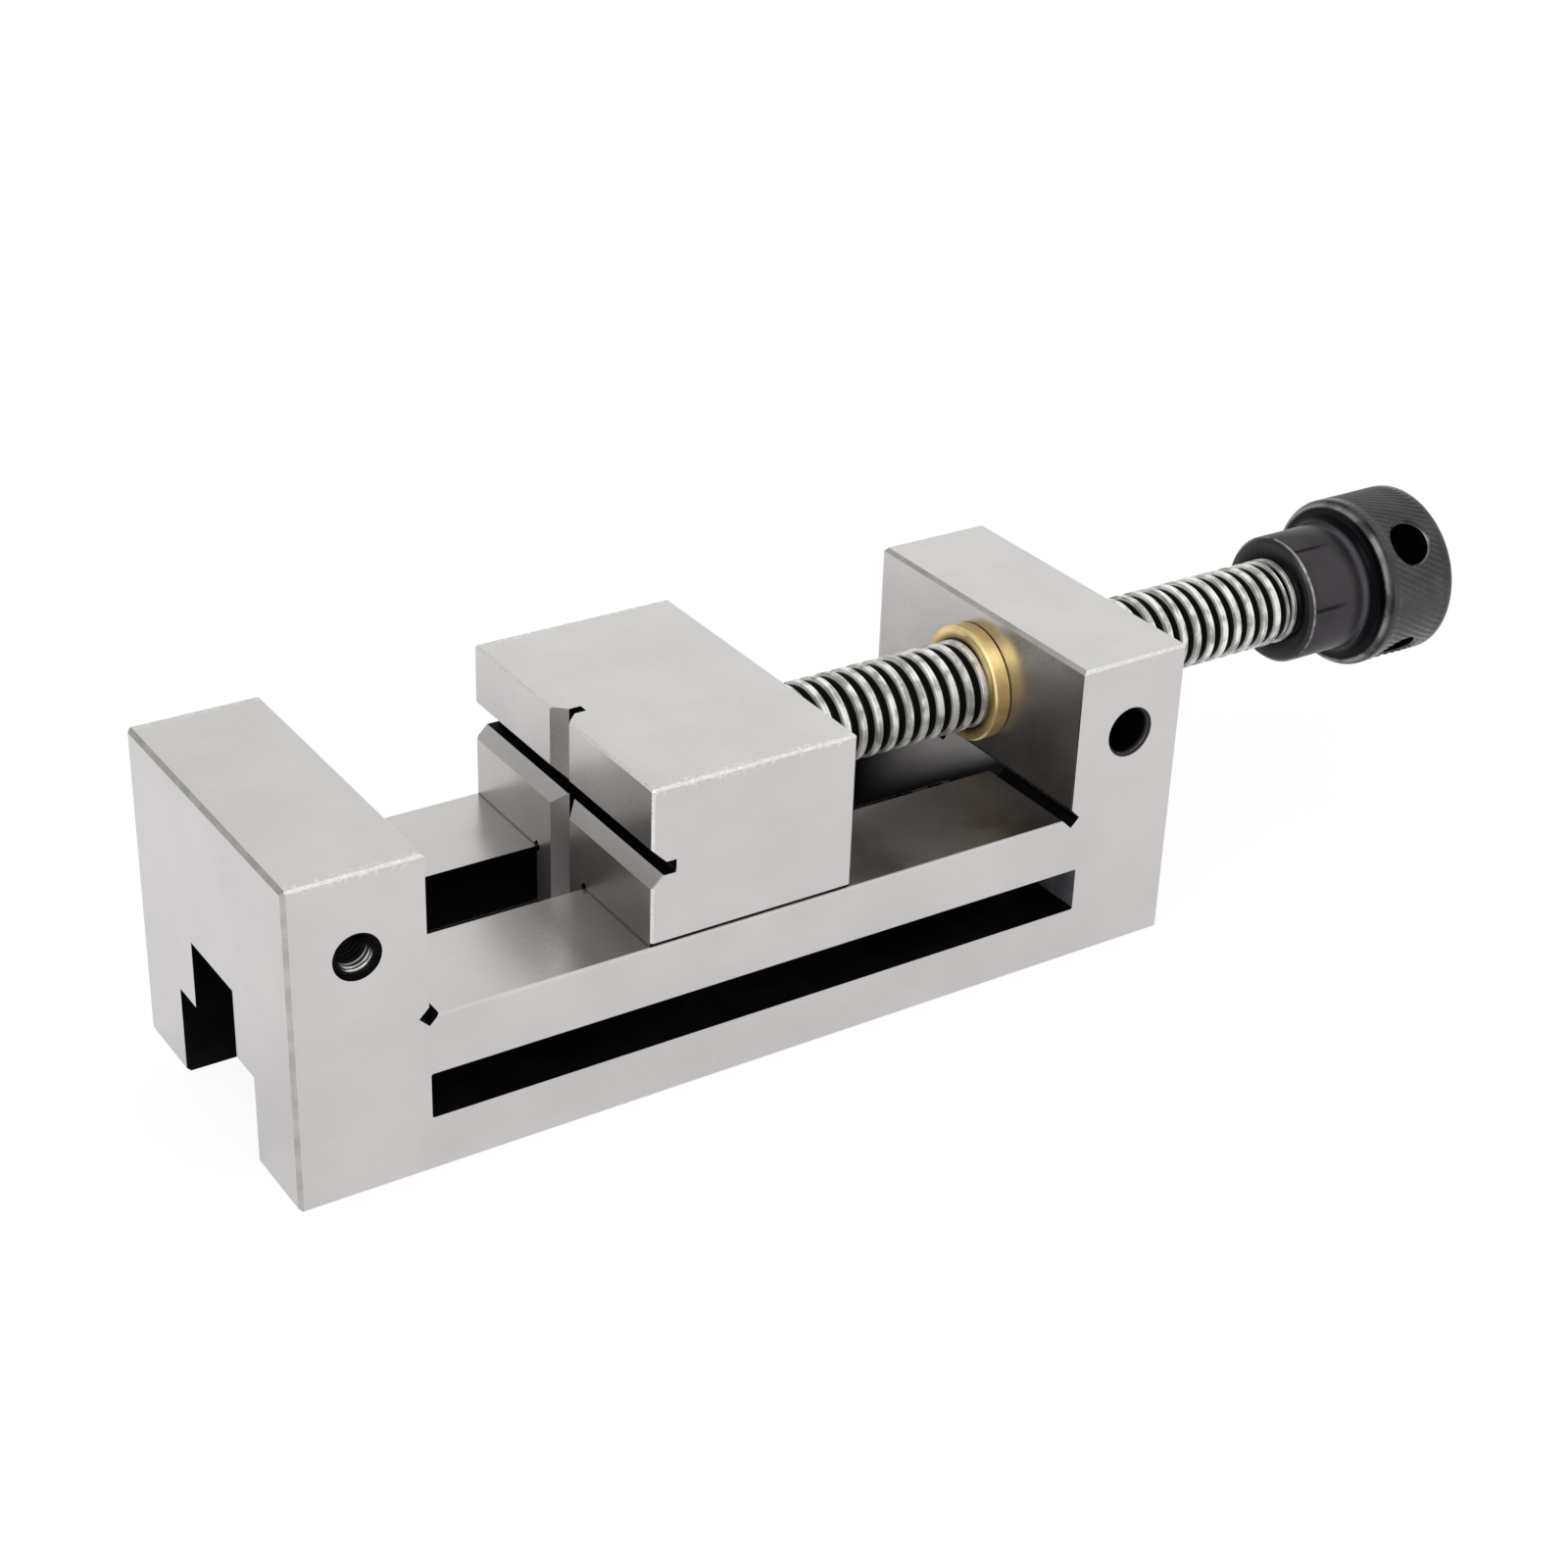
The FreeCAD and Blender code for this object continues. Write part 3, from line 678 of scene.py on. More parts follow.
def gridPoints(tree, rows, columns):
    # an empty grid whose points are then put in place by row and column number
    grid = tree.nodes.new("GeometryNodeMeshGrid")
    feed(tree, rows, grid.inputs["Vertices X"])
    feed(tree, columns, grid.inputs["Vertices Y"])
    index = tree.nodes.new("GeometryNodeInputIndex").outputs[0]
    row = calc(tree, "FLOOR", calc(tree, "DIVIDE", calc(tree, "ADD", index, 0.5), columns))
    column = calc(tree, "SUBTRACT", index, times(tree, row, columns))
    share = calc(tree, "DIVIDE", column, calc(tree, "SUBTRACT", columns, 1.0))
    return grid.outputs["Mesh"], row, share


def roundTube(tree, mesh, x, radius, share):
    turn = times(tree, share, 2 * math.pi)
    y = times(tree, radius, calc(tree, "COSINE", turn))
    z = times(tree, radius, calc(tree, "SINE", turn))
    put = tree.nodes.new("GeometryNodeSetPosition")
    feed(tree, mesh, put.inputs["Geometry"])
    feed(tree, joined(tree, x, y, z), put.inputs["Position"])
    return put.outputs[0]


def makeThreadTree():
    # one helical ridge round a tube that starts at x 0, its profile has six points
    tree, given, out = newTree(
        "threadHelix",
        "GeometryNodeTree",
        {
            "Root Radius": 0.00775,
            "Crest Radius": 0.01,
            "Pitch": 0.004,
            "Crest Width": 0.00146,
            "Flank Width": 0.0006,
            "Edge Break": 0.00012,
            "First Foot": 0.0006,
            "Length": 0.14,
            "Turns": 36,
            "Columns": 96,
            "Start Radius": 0.00775,
            "End Radius": 0.01,
            "Start Run Out": 0.002,
            "End Run Out": 0.002,
            "Material": "Material",
        },
        {"Geometry": "Geometry"},
    )
    rows = times(tree, given["Turns"], 6.0)
    mesh, row, share = gridPoints(tree, rows, given["Columns"])
    lap = calc(tree, "FLOOR", calc(tree, "DIVIDE", calc(tree, "ADD", row, 0.5), 6.0))
    corner = calc(tree, "ROUND", calc(tree, "SUBTRACT", row, times(tree, lap, 6.0)))
    root, crest, broken = given["Root Radius"], given["Crest Radius"], given["Edge Break"]
    low = calc(tree, "SUBTRACT", crest, broken)
    flank = given["Flank Width"]
    farSide = calc(tree, "ADD", flank, given["Crest Width"])
    inset = times(tree, broken, 0.7)
    outset = times(tree, broken, 0.27)
    offset = pick(
        tree,
        corner,
        [
            0.0,
            calc(tree, "SUBTRACT", flank, outset),
            calc(tree, "ADD", flank, inset),
            calc(tree, "SUBTRACT", farSide, inset),
            calc(tree, "ADD", farSide, outset),
            calc(tree, "ADD", farSide, flank),
        ],
    )
    radius = pick(tree, corner, [root, low, crest, crest, low, root])
    laps = calc(tree, "ADD", calc(tree, "SUBTRACT", lap, 1.0), share)
    x = calc(tree, "ADD", given["First Foot"], offset)
    x = calc(tree, "ADD", x, times(tree, laps, given["Pitch"]))
    x = calc(tree, "MINIMUM", calc(tree, "MAXIMUM", x, 0.0), given["Length"])
    fromStart = ease(tree, x, 0.0, given["Start Run Out"])
    fromEnd = ease(tree, calc(tree, "SUBTRACT", given["Length"], x), 0.0, given["End Run Out"])
    radius = blendFloat(tree, fromStart, given["Start Radius"], radius)
    radius = blendFloat(tree, fromEnd, given["End Radius"], radius)
    closeTube(tree, roundTube(tree, mesh, x, radius, share), given["Material"], out)
    return tree


def makeKnurlTree():
    # slanting ridges round a tube that starts at x 0
    tree, given, out = newTree(
        "slantKnurl",
        "GeometryNodeTree",
        {
            "Radius": 0.02,
            "Depth": 0.0003,
            "Ridges": 74,
            "Lean": 5.0,
            "Length": 0.015,
            "Rows": 28,
            "Columns": 445,
            "Run Out": 0.0012,
            "Material": "Material",
        },
        {"Geometry": "Geometry"},
    )
    mesh, row, share = gridPoints(tree, given["Rows"], given["Columns"])
    along = calc(tree, "DIVIDE", row, calc(tree, "SUBTRACT", given["Rows"], 1.0))
    phase = times(tree, share, given["Ridges"])
    # the columns follow the ridges round the tube
    slant = times(tree, along, calc(tree, "DIVIDE", given["Lean"], given["Ridges"]))
    turned = calc(tree, "ADD", share, slant)
    wave = calc(tree, "SUBTRACT", times(tree, calc(tree, "FRACT", phase), 2.0), 1.0)
    cut = ease(tree, calc(tree, "ABSOLUTE", wave), 0.1, 0.95)
    x = times(tree, along, given["Length"])
    fromEnd = calc(tree, "SUBTRACT", given["Length"], x)
    fade = times(tree, ease(tree, x, 0.0, given["Run Out"]), ease(tree, fromEnd, 0.0, given["Run Out"]))
    depth = times(tree, cut, fade, given["Depth"])
    tube = roundTube(tree, mesh, x, calc(tree, "SUBTRACT", given["Radius"], depth), turned)
    closeTube(tree, tube, given["Material"], out)
    return tree


def makeScrewRowTree():
    # the same fastener at even steps along x
    tree, given, out = newTree(
        "screwRow",
        "GeometryNodeTree",
        {
            "Geometry": "Geometry",
            "Count": 2,
            "Spacing": 0.026,
            "First": (0.0, 0.0, 0.0),
            "Material": "Material",
        },
        {"Geometry": "Geometry"},
    )
    line = tree.nodes.new("GeometryNodeMeshLine")
    feed(tree, given["Count"], line.inputs["Count"])
    feed(tree, given["First"], line.inputs["Start Location"])
    feed(tree, joined(tree, given["Spacing"], 0.0, 0.0), line.inputs["Offset"])
    copies = tree.nodes.new("GeometryNodeInstanceOnPoints")
    feed(tree, line.outputs[0], copies.inputs["Points"])
    feed(tree, given["Geometry"], copies.inputs["Instance"])
    coatTree(tree, copies.outputs[0], given["Material"], out)
    return tree


threadTree = makeThreadTree()
knurlTree = makeKnurlTree()
screwRowTree = makeScrewRowTree()


def grow(tree, values, startMesh=None):
    # runs a tree on an empty object and returns the plain mesh that it makes
    holder = bpy.data.objects.new("grower", startMesh or bpy.data.meshes.new("empty"))
    bpy.context.scene.collection.objects.link(holder)
    step = holder.modifiers.new("grow", "NODES")
    step.node_group = tree
    for item in tree.interface.items_tree:
        if item.item_type == "SOCKET" and item.in_out == "INPUT" and item.name in values:
            step[item.identifier] = values[item.name]
    graph = bpy.context.evaluated_depsgraph_get()
    mesh = bpy.data.meshes.new_from_object(holder.evaluated_get(graph), depsgraph=graph)
    bpy.data.objects.remove(holder)
    return mesh


# mesh helpers
edgeCoat = 2  # place of the edge finish in every ground piece's coats


def onAxis(point, x, radius):
    # same direction from the local X axis, new place along it and new distance
    side = Vector((0, point.y, point.z))
    side = side.normalized() * radius if side.length > 1e-9 else side
    return Vector((x, side.y, side.z))


def tubeCopy(mesh):
    # the grown tube as a bmesh whose faces all have the first finish
    bm = bmesh.new()
    bm.from_mesh(mesh)
    for face in bm.faces:
        face.material_index = 0
    return bm


def boundaryRings(bm):
    # the open end rings of a tube along X, low end first
    loose = [e for e in bm.edges if e.is_boundary]
    middle = sum((v.co.x for e in loose for v in e.verts)) / (2 * len(loose))
    low = [e for e in loose if e.verts[0].co.x < middle]
    high = [e for e in loose if e.verts[0].co.x >= middle]
    return low, high


def extendRing(bm, ring, steps, materials=None):
    # steps are (x, radius); each new ring is joined to the last one
    for number, (x, radius) in enumerate(steps):
        made = bmesh.ops.extrude_edge_only(bm, edges=ring)["geom"]
        ring = [g for g in made if isinstance(g, bmesh.types.BMEdge) and g.is_boundary]
        for vert in {v for e in ring for v in e.verts}:
            vert.co = onAxis(vert.co, x, radius)
        for face in (g for g in made if isinstance(g, bmesh.types.BMFace)):
            face.material_index = materials[number] if materials else 0
    return ring


def closeRing(bm, ring):
    # a fan of triangles to the middle of the ring, which lies on the local X axis
    centre = bm.verts.new((ring[0].verts[0].co.x, 0, 0))
    faces = [bm.faces.new((e.verts[0], e.verts[1], centre)) for e in ring]
    for face in faces:
        face.material_index = ring[0].link_faces[0].material_index


def takeMesh(bm, name):
    # a plain mesh with its faces outwards, the bmesh is given back
    bmesh.ops.recalc_face_normals(bm, faces=bm.faces)
    mesh = bpy.data.meshes.new(name)
    bm.to_mesh(mesh)
    bm.free()
    return mesh


def smoothMesh(mesh, sharp):
    for face in mesh.polygons:
        face.use_smooth = True
    mesh.set_sharp_from_angle(angle=math.radians(sharp))


def toMesh(bm, name, coats, sharp=35.0):
    mesh = takeMesh(bm, name)
    for coat in coats:
        mesh.materials.append(finish[coat])
    smoothMesh(mesh, sharp)
    return mesh


def skinRings(bm, rings):
    # walls between rings of vertices that have the same count
    for a, b in zip(rings, rings[1:]):
        for i in range(len(a)):
            j = (i + 1) % len(a)
            bm.faces.new((a[i], a[j], b[j], b[i]))


def capRing(bm, ring, centre):
    middle = bm.verts.new(centre)
    for i in range(len(ring)):
        bm.faces.new((ring[i], ring[(i + 1) % len(ring)], middle))


def addPiece(name, mesh, body, slot, *replaced):
    piece = bpy.data.objects.new(name, mesh)
    bpy.context.scene.collection.objects.link(piece)
    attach(piece, body)
    if replaced:
        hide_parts(*replaced)
    return piece


def addWeighted(piece):
    step = piece.modifiers.new("flatNormals", "WEIGHTED_NORMAL")
    step.keep_sharp = True
    step.weight = 100


def cutWith(mesh, cutter):
    # takes the cutter mesh away from the mesh and returns the plain result
    holders = []
    for name, data in (("cutBlank", mesh), ("cutTool", cutter)):
        holder = bpy.data.objects.new(name, data)
        bpy.context.scene.collection.objects.link(holder)
        holders.append(holder)
    step = holders[0].modifiers.new("cut", "BOOLEAN")
    step.object = holders[1]
    step.operation = "DIFFERENCE"
    step.solver = "MANIFOLD"
    graph = bpy.context.evaluated_depsgraph_get()
    result = bpy.data.meshes.new_from_object(holders[0].evaluated_get(graph), depsgraph=graph)
    for holder in holders:
        bpy.data.objects.remove(holder)
    return result


def breakEdges(bm, width, leave=lambda point: False):
    # every sharp edge gets a narrow rounded strip with its own finish
    sharp = [e for e in bm.edges if e.is_manifold and e.calc_face_angle(0) > math.radians(30)]
    bmesh.ops.bevel(
        bm,
        geom=[e for e in sharp if not all(leave(v.co / mm) for v in e.verts)],
        offset=width,
        offset_type="OFFSET",
        segments=2,
        profile=0.5,
        affect="EDGES",
        clamp_overlap=True,
        material=edgeCoat,
        loop_slide=True,
    )


def mergeFlat(bm):
    bmesh.ops.dissolve_limit(bm, angle_limit=math.radians(1), verts=bm.verts, edges=bm.edges)
    bm.normal_update()


def boxMesh(low, high):
    bm = bmesh.new()
    bmesh.ops.create_cube(bm, size=1.0)
    for vert in bm.verts:
        vert.co = Vector([(b if side > 0 else a) * mm for side, a, b in zip(vert.co, low, high)])
    return takeMesh(bm, "box")


def splitLarge(bm):
    bmesh.ops.triangulate(bm, faces=[f for f in bm.faces if len(f.verts) > 4])


def groundCopy(node, coats, finishOf, cutter=None):
    # the frame's solid, merged, with a finish for each flat face
    bm = bmesh.new()
    bm.from_mesh(nodes[node].data)
    bmesh.ops.remove_doubles(bm, verts=bm.verts, dist=0.002 * mm)
    if cutter:
        blank = bpy.data.meshes.new("blank")
        bm.to_mesh(blank)
        bm.clear()
        bm.from_mesh(cutWith(blank, cutter))
    mergeFlat(bm)
    for face in bm.faces:
        face.material_index = coats.index(finishOf(face.calc_center_median() / mm, face.normal))
    return bm


# ground body
def within(value, limits):
    return limits[0] < value < limits[1]


def bodyFinish(c, n):
    # c is the middle of a face in millimetres, n its normal
    look = bodyLook
    half, rail, post = place["halfWidth"], place["railHeight"], place["postFace"]
    away = abs(c.y)
    atSlot = within(c.x, look["slotX"]) and within(c.z, look["slotZ"])
    if away < look["neckHalf"] and 19.9 < c.z < rail + 0.1 and abs(n.y) > 0.5:
        return "neck"
    inClampSlot = atSlot and away < half - 0.2 and abs(n.z) > 0.3
    turnedIn = abs(n.y) > 0.5 or n.z < -0.5
    inChannel = away < look["channelHalf"] and 0.1 < c.z < look["channelTop"] and turnedIn
    toGroove = max(abs(c.z - rail), min(abs(c.x), abs(c.x - post)))
    inGroove = toGroove < look["grooveReach"] and abs(n.x) > 0.3 and abs(n.z) > 0.3
    toHole = max(abs(c.z - place["axisHeight"]), min(abs(c.x - x) for x in look["holes"]))
    inHole = toHole < look["holeReach"] and -half + 0.01 < c.y < -12
    if inClampSlot or inChannel or inGroove or inHole:
        return "scale"
    if atSlot and abs(n.x) > 0.99 and away > 18:
        return "slotEnd"
    atEnd = min(abs(c.x - place["frontEnd"]), abs(c.x - place["rearEnd"])) < 1
    atPost = abs(c.x - post) < 1 and c.z > place["bodyHeight"] - 1
    if (atEnd or atPost) and 0.3 < abs(n.x) < 0.9:
        return "chamfer"
    # the chamfers along the tops and corners, not those next to the film and painted shade
    slanted = sorted(abs(v) for v in n)[1] > 0.5
    return "edge" if slanted and not (0 < c.x < post and c.z < rail + 0.1) else "bodyGround"


def makeStopThread():
    # the tool that cuts the thread, a little smaller than the bore at both ends
    look = bodyLook
    flankWidth = look["stopFlank"] * look["stopPitch"] * mm
    crest = look["stopThread"] / 2 * mm
    root = look["stopBore"] / 2 * mm - 0.04 * mm
    tap = grow(
        threadTree,
        {
            "Root Radius": root,
            "Crest Radius": crest,
            "Pitch": look["stopPitch"] * mm,
            "Crest Width": 0.16 * mm,
            "Flank Width": flankWidth,
            "Edge Break": 0.01 * mm,
            "First Foot": 0.1 * mm,
            "Length": look["stopDepth"] * mm,
            "Turns": int(look["stopDepth"] / look["stopPitch"]) + 2,
            "Columns": 49,
            "Start Radius": root,
            "End Radius": root,
            "Start Run Out": 0.4 * mm,
            "End Run Out": 1.5 * mm,
            "Material": finish["scale"],
        },
    )
    bm = bmesh.new()
    bm.from_mesh(tap)
    for ring in boundaryRings(bm):
        closeRing(bm, ring)
    start = Vector((look["stopHoleX"], -place["halfWidth"] + 0.6, place["axisHeight"])) * mm
    bm.transform(Matrix.Translation(start) @ Matrix.Rotation(math.radians(90), 4, "Z"))
    return takeMesh(bm, "stopTap")


def makeGroundBody():
    look = bodyLook
    coats = look["coats"]
    bm = groundCopy("vise_body", coats, bodyFinish)
    for vert in bm.verts:
        # the chamfer on the post's inner top edge is filed back a little wider
        back = vert.co.x - place["postFace"] * mm
        if vert.co.z > (place["bodyHeight"] - 1) * mm and -0.1 * mm < back < 1 * mm:
            if back > 0.1 * mm:
                vert.co.x += look["filedBack"]
            else:
                vert.co.z -= look["filedBack"]
    bm.normal_update()
    breakEdges(bm, look["edgeWidth"])
    for face in bm.faces:
        # the rails' edges carry the same film and painted shade as the rails, those in the channel stay
        # black
        c = face.calc_center_median() / mm
        if face.material_index != edgeCoat:
            continue
        if 1 < c.x < place["postFace"] - 1 and abs(c.z - place["railHeight"]) < 1:
            face.material_index = coats.index("bodyGround")
        elif (
            abs(c.y) < look["channelHalf"] + 0.2
            and 1 < c.z < look["channelTop"] + 0.4
            and place["frontEnd"] + 0.3 < c.x < place["rearEnd"] - 0.3
        ):
            face.material_index = coats.index("scale")
    splitLarge(bm)
    mesh = cutWith(toMesh(bm, "groundBody", coats), makeStopThread())
    for face in mesh.polygons:
        c = face.center / mm
        off = math.hypot(c.x - look["stopHoleX"], c.z - place["axisHeight"])
        if off < look["stopThread"] / 2 + 0.1 and -place["halfWidth"] + 0.9 < c.y < -14:
            face.material_index = coats.index("tapped")
    return addPiece("ground_body", mesh, "body", "ground_steel", "vise_body")


groundBody = makeGroundBody()
addWeighted(groundBody)
print("ground body:", len(groundBody.data.polygons), "faces")


# moving jaw
jawLook = {
    "coats": ["jawGround", "scale", "edge"],
    "edgeWidth": 0.12 * mm,
    "shadowBand": 0.95,
    "gap": 0.05,
    "oilFilm": 0.003,
    # the level slot is opened downwards to this box, from low to high corner
    "slotLow": (47.0, -40.0, 50.75),
    "slotHigh": (53.4, 40.0, 51.9),
}


def jawFinish(c, n):
    face, axis, half, rail = place["jawFace"], place["axisHeight"], place["halfWidth"], place["railHeight"]
    behindVees = face + 2.4 < c.x < face + 5.7
    inLevelSlot = behindVees and axis - 2 < c.z < axis + 1.3 and (abs(n.z) > 0.9 or n.x < -0.9)
    inUprightSlot = behindVees and abs(c.y) < 1.3 and (abs(n.y) > 0.5 or n.x < -0.5)
    inNotch = max(abs(c.z - rail), abs(abs(c.y) - 10)) < 1.6 and abs(n.x) < 0.3
    # painted shadow: a black band at the bottom of both sides
    underRimShadow = abs(c.y) > half - 0.6 and c.z < rail + jawLook["shadowBand"] and abs(n.y) > 0.3
    if inLevelSlot or inUprightSlot or inNotch or underRimShadow:
        return "scale"
    atRim = c.z > place["bodyHeight"] - 0.6 or abs(c.y) > half - 0.6
    return "edge" if atRim and sorted(abs(v) for v in n)[1] > 0.5 else "jawGround"


def onSlide(point):
    # edges of the sliding face at the front stay sharp
    return point.x < place["jawFace"] + 0.1 and abs(point.z - place["railHeight"]) < 0.1


def makeGroundJaw():
    look, rail = jawLook, place["railHeight"]
    coats = look["coats"]
    bm = groundCopy("moving_jaw", coats, jawFinish, boxMesh(look["slotLow"], look["slotHigh"]))
    for vert in bm.verts:
        # the sliding face comes down to a thin oil film and ends sharp at the front
        if abs(vert.co.z / mm - rail - look["gap"]) < 0.01:
            vert.co.z = (rail + look["oilFilm"]) * mm
            if vert.co.x / mm < place["jawFace"] + 0.6:
                vert.co.x = place["jawFace"] * mm
    mergeFlat(bm)
    breakEdges(bm, look["edgeWidth"], onSlide)
    # a black band runs along both sides at the bottom: painted shadow of the gap under the jaw
    level = Vector((0, 0, rail + look["shadowBand"])) * mm
    whole = bm.verts[:] + bm.edges[:] + bm.faces[:]
    bmesh.ops.bisect_plane(bm, geom=whole, dist=0.001 * mm, plane_co=level, plane_no=(0, 0, 1))
    for face in bm.faces:
        c = face.calc_center_median() / mm
        if c.z > rail + look["shadowBand"]:
            continue
        if abs(c.y) > place["halfWidth"] - 0.6 and c.z > rail - 0.5:
            face.material_index = coats.index("scale")
        elif face.material_index == edgeCoat and not (face.normal.x < -0.3 and c.z > rail - 0.2):
            face.material_index = coats.index("jawGround")
    splitLarge(bm)
    mesh = toMesh(bm, "groundJaw", coats)
    return addPiece("ground_jaw", mesh, "jaw", "ground_steel", "moving_jaw")


groundJaw = makeGroundJaw()
addWeighted(groundJaw)
print("moving jaw:", len(groundJaw.data.polygons), "faces")


def fromStart(steps, start):
    return [(x * mm - start, radius * mm) for x, radius in steps]


# lead screw
screwLook = {
    "rootRadius": 7.75 * mm,
    "crestRadius": 10.0 * mm,
    "pitch": 4.0 * mm,
    "crestWidth": 1.464 * mm,
    "flankWidth": 0.603 * mm,
    "edgeBreak": 0.12 * mm,
    "neckStart": 95.1 * mm,
    "firstFoot": 1.4 * mm,
    "ringEnd": 237.45 * mm,
    "turns": 37,
    "columns": 97,
    "ringWidth": 1.1 * mm,
    "startRunOut": 1.6 * mm,
    "endRunOut": 1.2 * mm,
    # turned ends, as place along x and radius in millimetres
    "nose": [(95.1, 7.0), (83.1, 7.0), (83.1, 5.0), (78.9, 5.0), (78.9, 7.0), (71.85, 7.0), (71.05, 6.2)],
    "shank": [(237.45, 8.0), (259.0, 8.0), (259.5, 7.5)],
}


def makeThreadedScrew():
    look = screwLook
    start, ringEnd = look["neckStart"], look["ringEnd"]
    mesh = grow(
        threadTree,
        {
            "Root Radius": look["rootRadius"],
            "Crest Radius": look["crestRadius"],
            "Pitch": look["pitch"],
            "Crest Width": look["crestWidth"],
            "Flank Width": look["flankWidth"],
            "Edge Break": look["edgeBreak"],
            "First Foot": look["firstFoot"],
            "Length": ringEnd - start - look["ringWidth"],
            "Turns": look["turns"],
            "Columns": look["columns"],
            "Start Radius": look["rootRadius"],
            "End Radius": look["rootRadius"],
            "Start Run Out": look["startRunOut"],
            "End Run Out": look["endRunOut"],
            "Material": finish["screw"],
        },
    )
    bm = tubeCopy(mesh)
    low, high = boundaryRings(bm)
    closeRing(bm, extendRing(bm, low, fromStart(look["nose"], start)))
    ringStart = ringEnd - look["ringWidth"] - start
    crest, broken = look["crestRadius"], look["edgeBreak"]
    collar = [
        (ringStart, crest - broken),
        (ringStart + broken, crest),
        (ringEnd - start - broken, crest),
        (ringEnd - start, crest - broken),
    ]
    closeRing(bm, extendRing(bm, high, collar + fromStart(look["shank"], start)))
    bm.transform(Matrix.Translation((start, 0, place["axisHeight"] * mm)))
    mesh = toMesh(bm, "threadedScrew", ["screw"], 14.0)
    return addPiece("threaded_screw", mesh, "screw", "screw_steel", "lead_screw")


threadedScrew = makeThreadedScrew()
print("lead screw:", len(threadedScrew.data.polygons), "faces")


# brass nut
nutLook = {
    "frontFace": 148.0 * mm,
    "rearFace": 180.0 * mm,
    "play": 0.25 * mm,
    "mouth": 10.4 * mm,
    "runOut": 1.8 * mm,
    "edgeBreak": 0.05 * mm,
    # outlines, as place along x and radius in millimetres
    "flange": [
        (148.0, 12.55),
        (148.05, 12.62),
        (148.38, 12.95),
        (148.45, 13.0),
        (151.75, 13.0),
        (152.0, 12.8),
    ],
    "body": [(152.0, 12.0), (179.5, 12.0), (180.0, 11.5)],
    "coats": ["brass", "brassEdgeHighlight", "scale"],
    "outerFinish": [0, 0, 1, 0, 0, 2, 0, 0, 0],
    "columns": 97,
}


def makeFlangedNut():
    look, screw = nutLook, screwLook
    start, play = look["frontFace"], look["play"]
    # the inner thread stays in step with the screw's
    behind = (start - screw["neckStart"] - screw["firstFoot"]) % screw["pitch"]
    length = look["rearFace"] - start
    mesh = grow(
        threadTree,
        {
            "Root Radius": screw["rootRadius"] + play,
            "Crest Radius": screw["crestRadius"] + play,
            "Pitch": screw["pitch"],
            "Crest Width": screw["crestWidth"] + play,
            "Flank Width": screw["flankWidth"],
            "Edge Break": look["edgeBreak"],
            "First Foot": screw["pitch"] - behind - play / 2,
            "Length": length,
            "Turns": int(length / screw["pitch"]) + 3,
            "Columns": look["columns"],
            "Start Radius": look["mouth"],
            "End Radius": look["mouth"],
            "Start Run Out": look["runOut"],
            "End Run Out": look["runOut"],
            "Material": finish["brass"],
        },
    )
    bm = tubeCopy(mesh)
    low, high = boundaryRings(bm)
    ring = extendRing(bm, low, fromStart(look["flange"] + look["body"], start), look["outerFinish"])
    bmesh.ops.bridge_loops(bm, edges=ring + high)
    bm.transform(Matrix.Translation((start, 0, place["axisHeight"] * mm)))
    mesh = toMesh(bm, "flangedNut", look["coats"], 25.0)
    return addPiece("flanged_nut", mesh, "body", "nut_brass", "lead_nut")


flangedNut = makeFlangedNut()
print("nut:", len(flangedNut.data.polygons), "faces")


# knob
knobLook = {
    "knurlStart": 260.2 * mm,
    "knurlLength": 15.6 * mm,
    "ridges": 74,
    "lean": 5.3,
    "depth": 0.28 * mm,
    "columns": 445,
    "rows": 30,
    "headRadius": 20.0,
    "holeRadius": 5.25 * mm,
    "holeX": 267.2 * mm,
    "holeAngles": (135.0, 225.0),
    "holeChamfer": 0.7 * mm,
    "runOut": 1.0 * mm,
    # outline from the knurl to the bore and to the rear, as x and radius in millimetres
    "front": [
        (258.6, 20.0),
        (258.3, 19.92),
        (257.8, 19.65),
        (257.35, 19.2),
        (257.1, 18.65),
        (257.02, 18.1),
        (256.95, 17.4),
        (256.75, 16.6),
        (256.3, 15.9),
        (255.5, 15.3),
        (254.3, 15.0),
        (238.7, 15.0),
        (238.3, 14.7),
        (237.6, 14.1),
        (237.5, 13.9),
        (237.5, 8.3),
        (237.7, 8.02),
        (259.52, 8.02),
    ],
    "frontFinish": [0, 2, 2, 2, 2, 2, 2, 2, 3, 3, 3, 3, 1, 3, 3, 3, 3, 3],
    "back": [(276.9, 20.0), (277.05, 19.9), (277.95, 19.1), (278.0, 18.9)],
    "backFinish": [0, 1, 0, 1],
    "coats": ["oxide", "oxideEdge", "oxideWornSheen", "hub", "scale"],
}


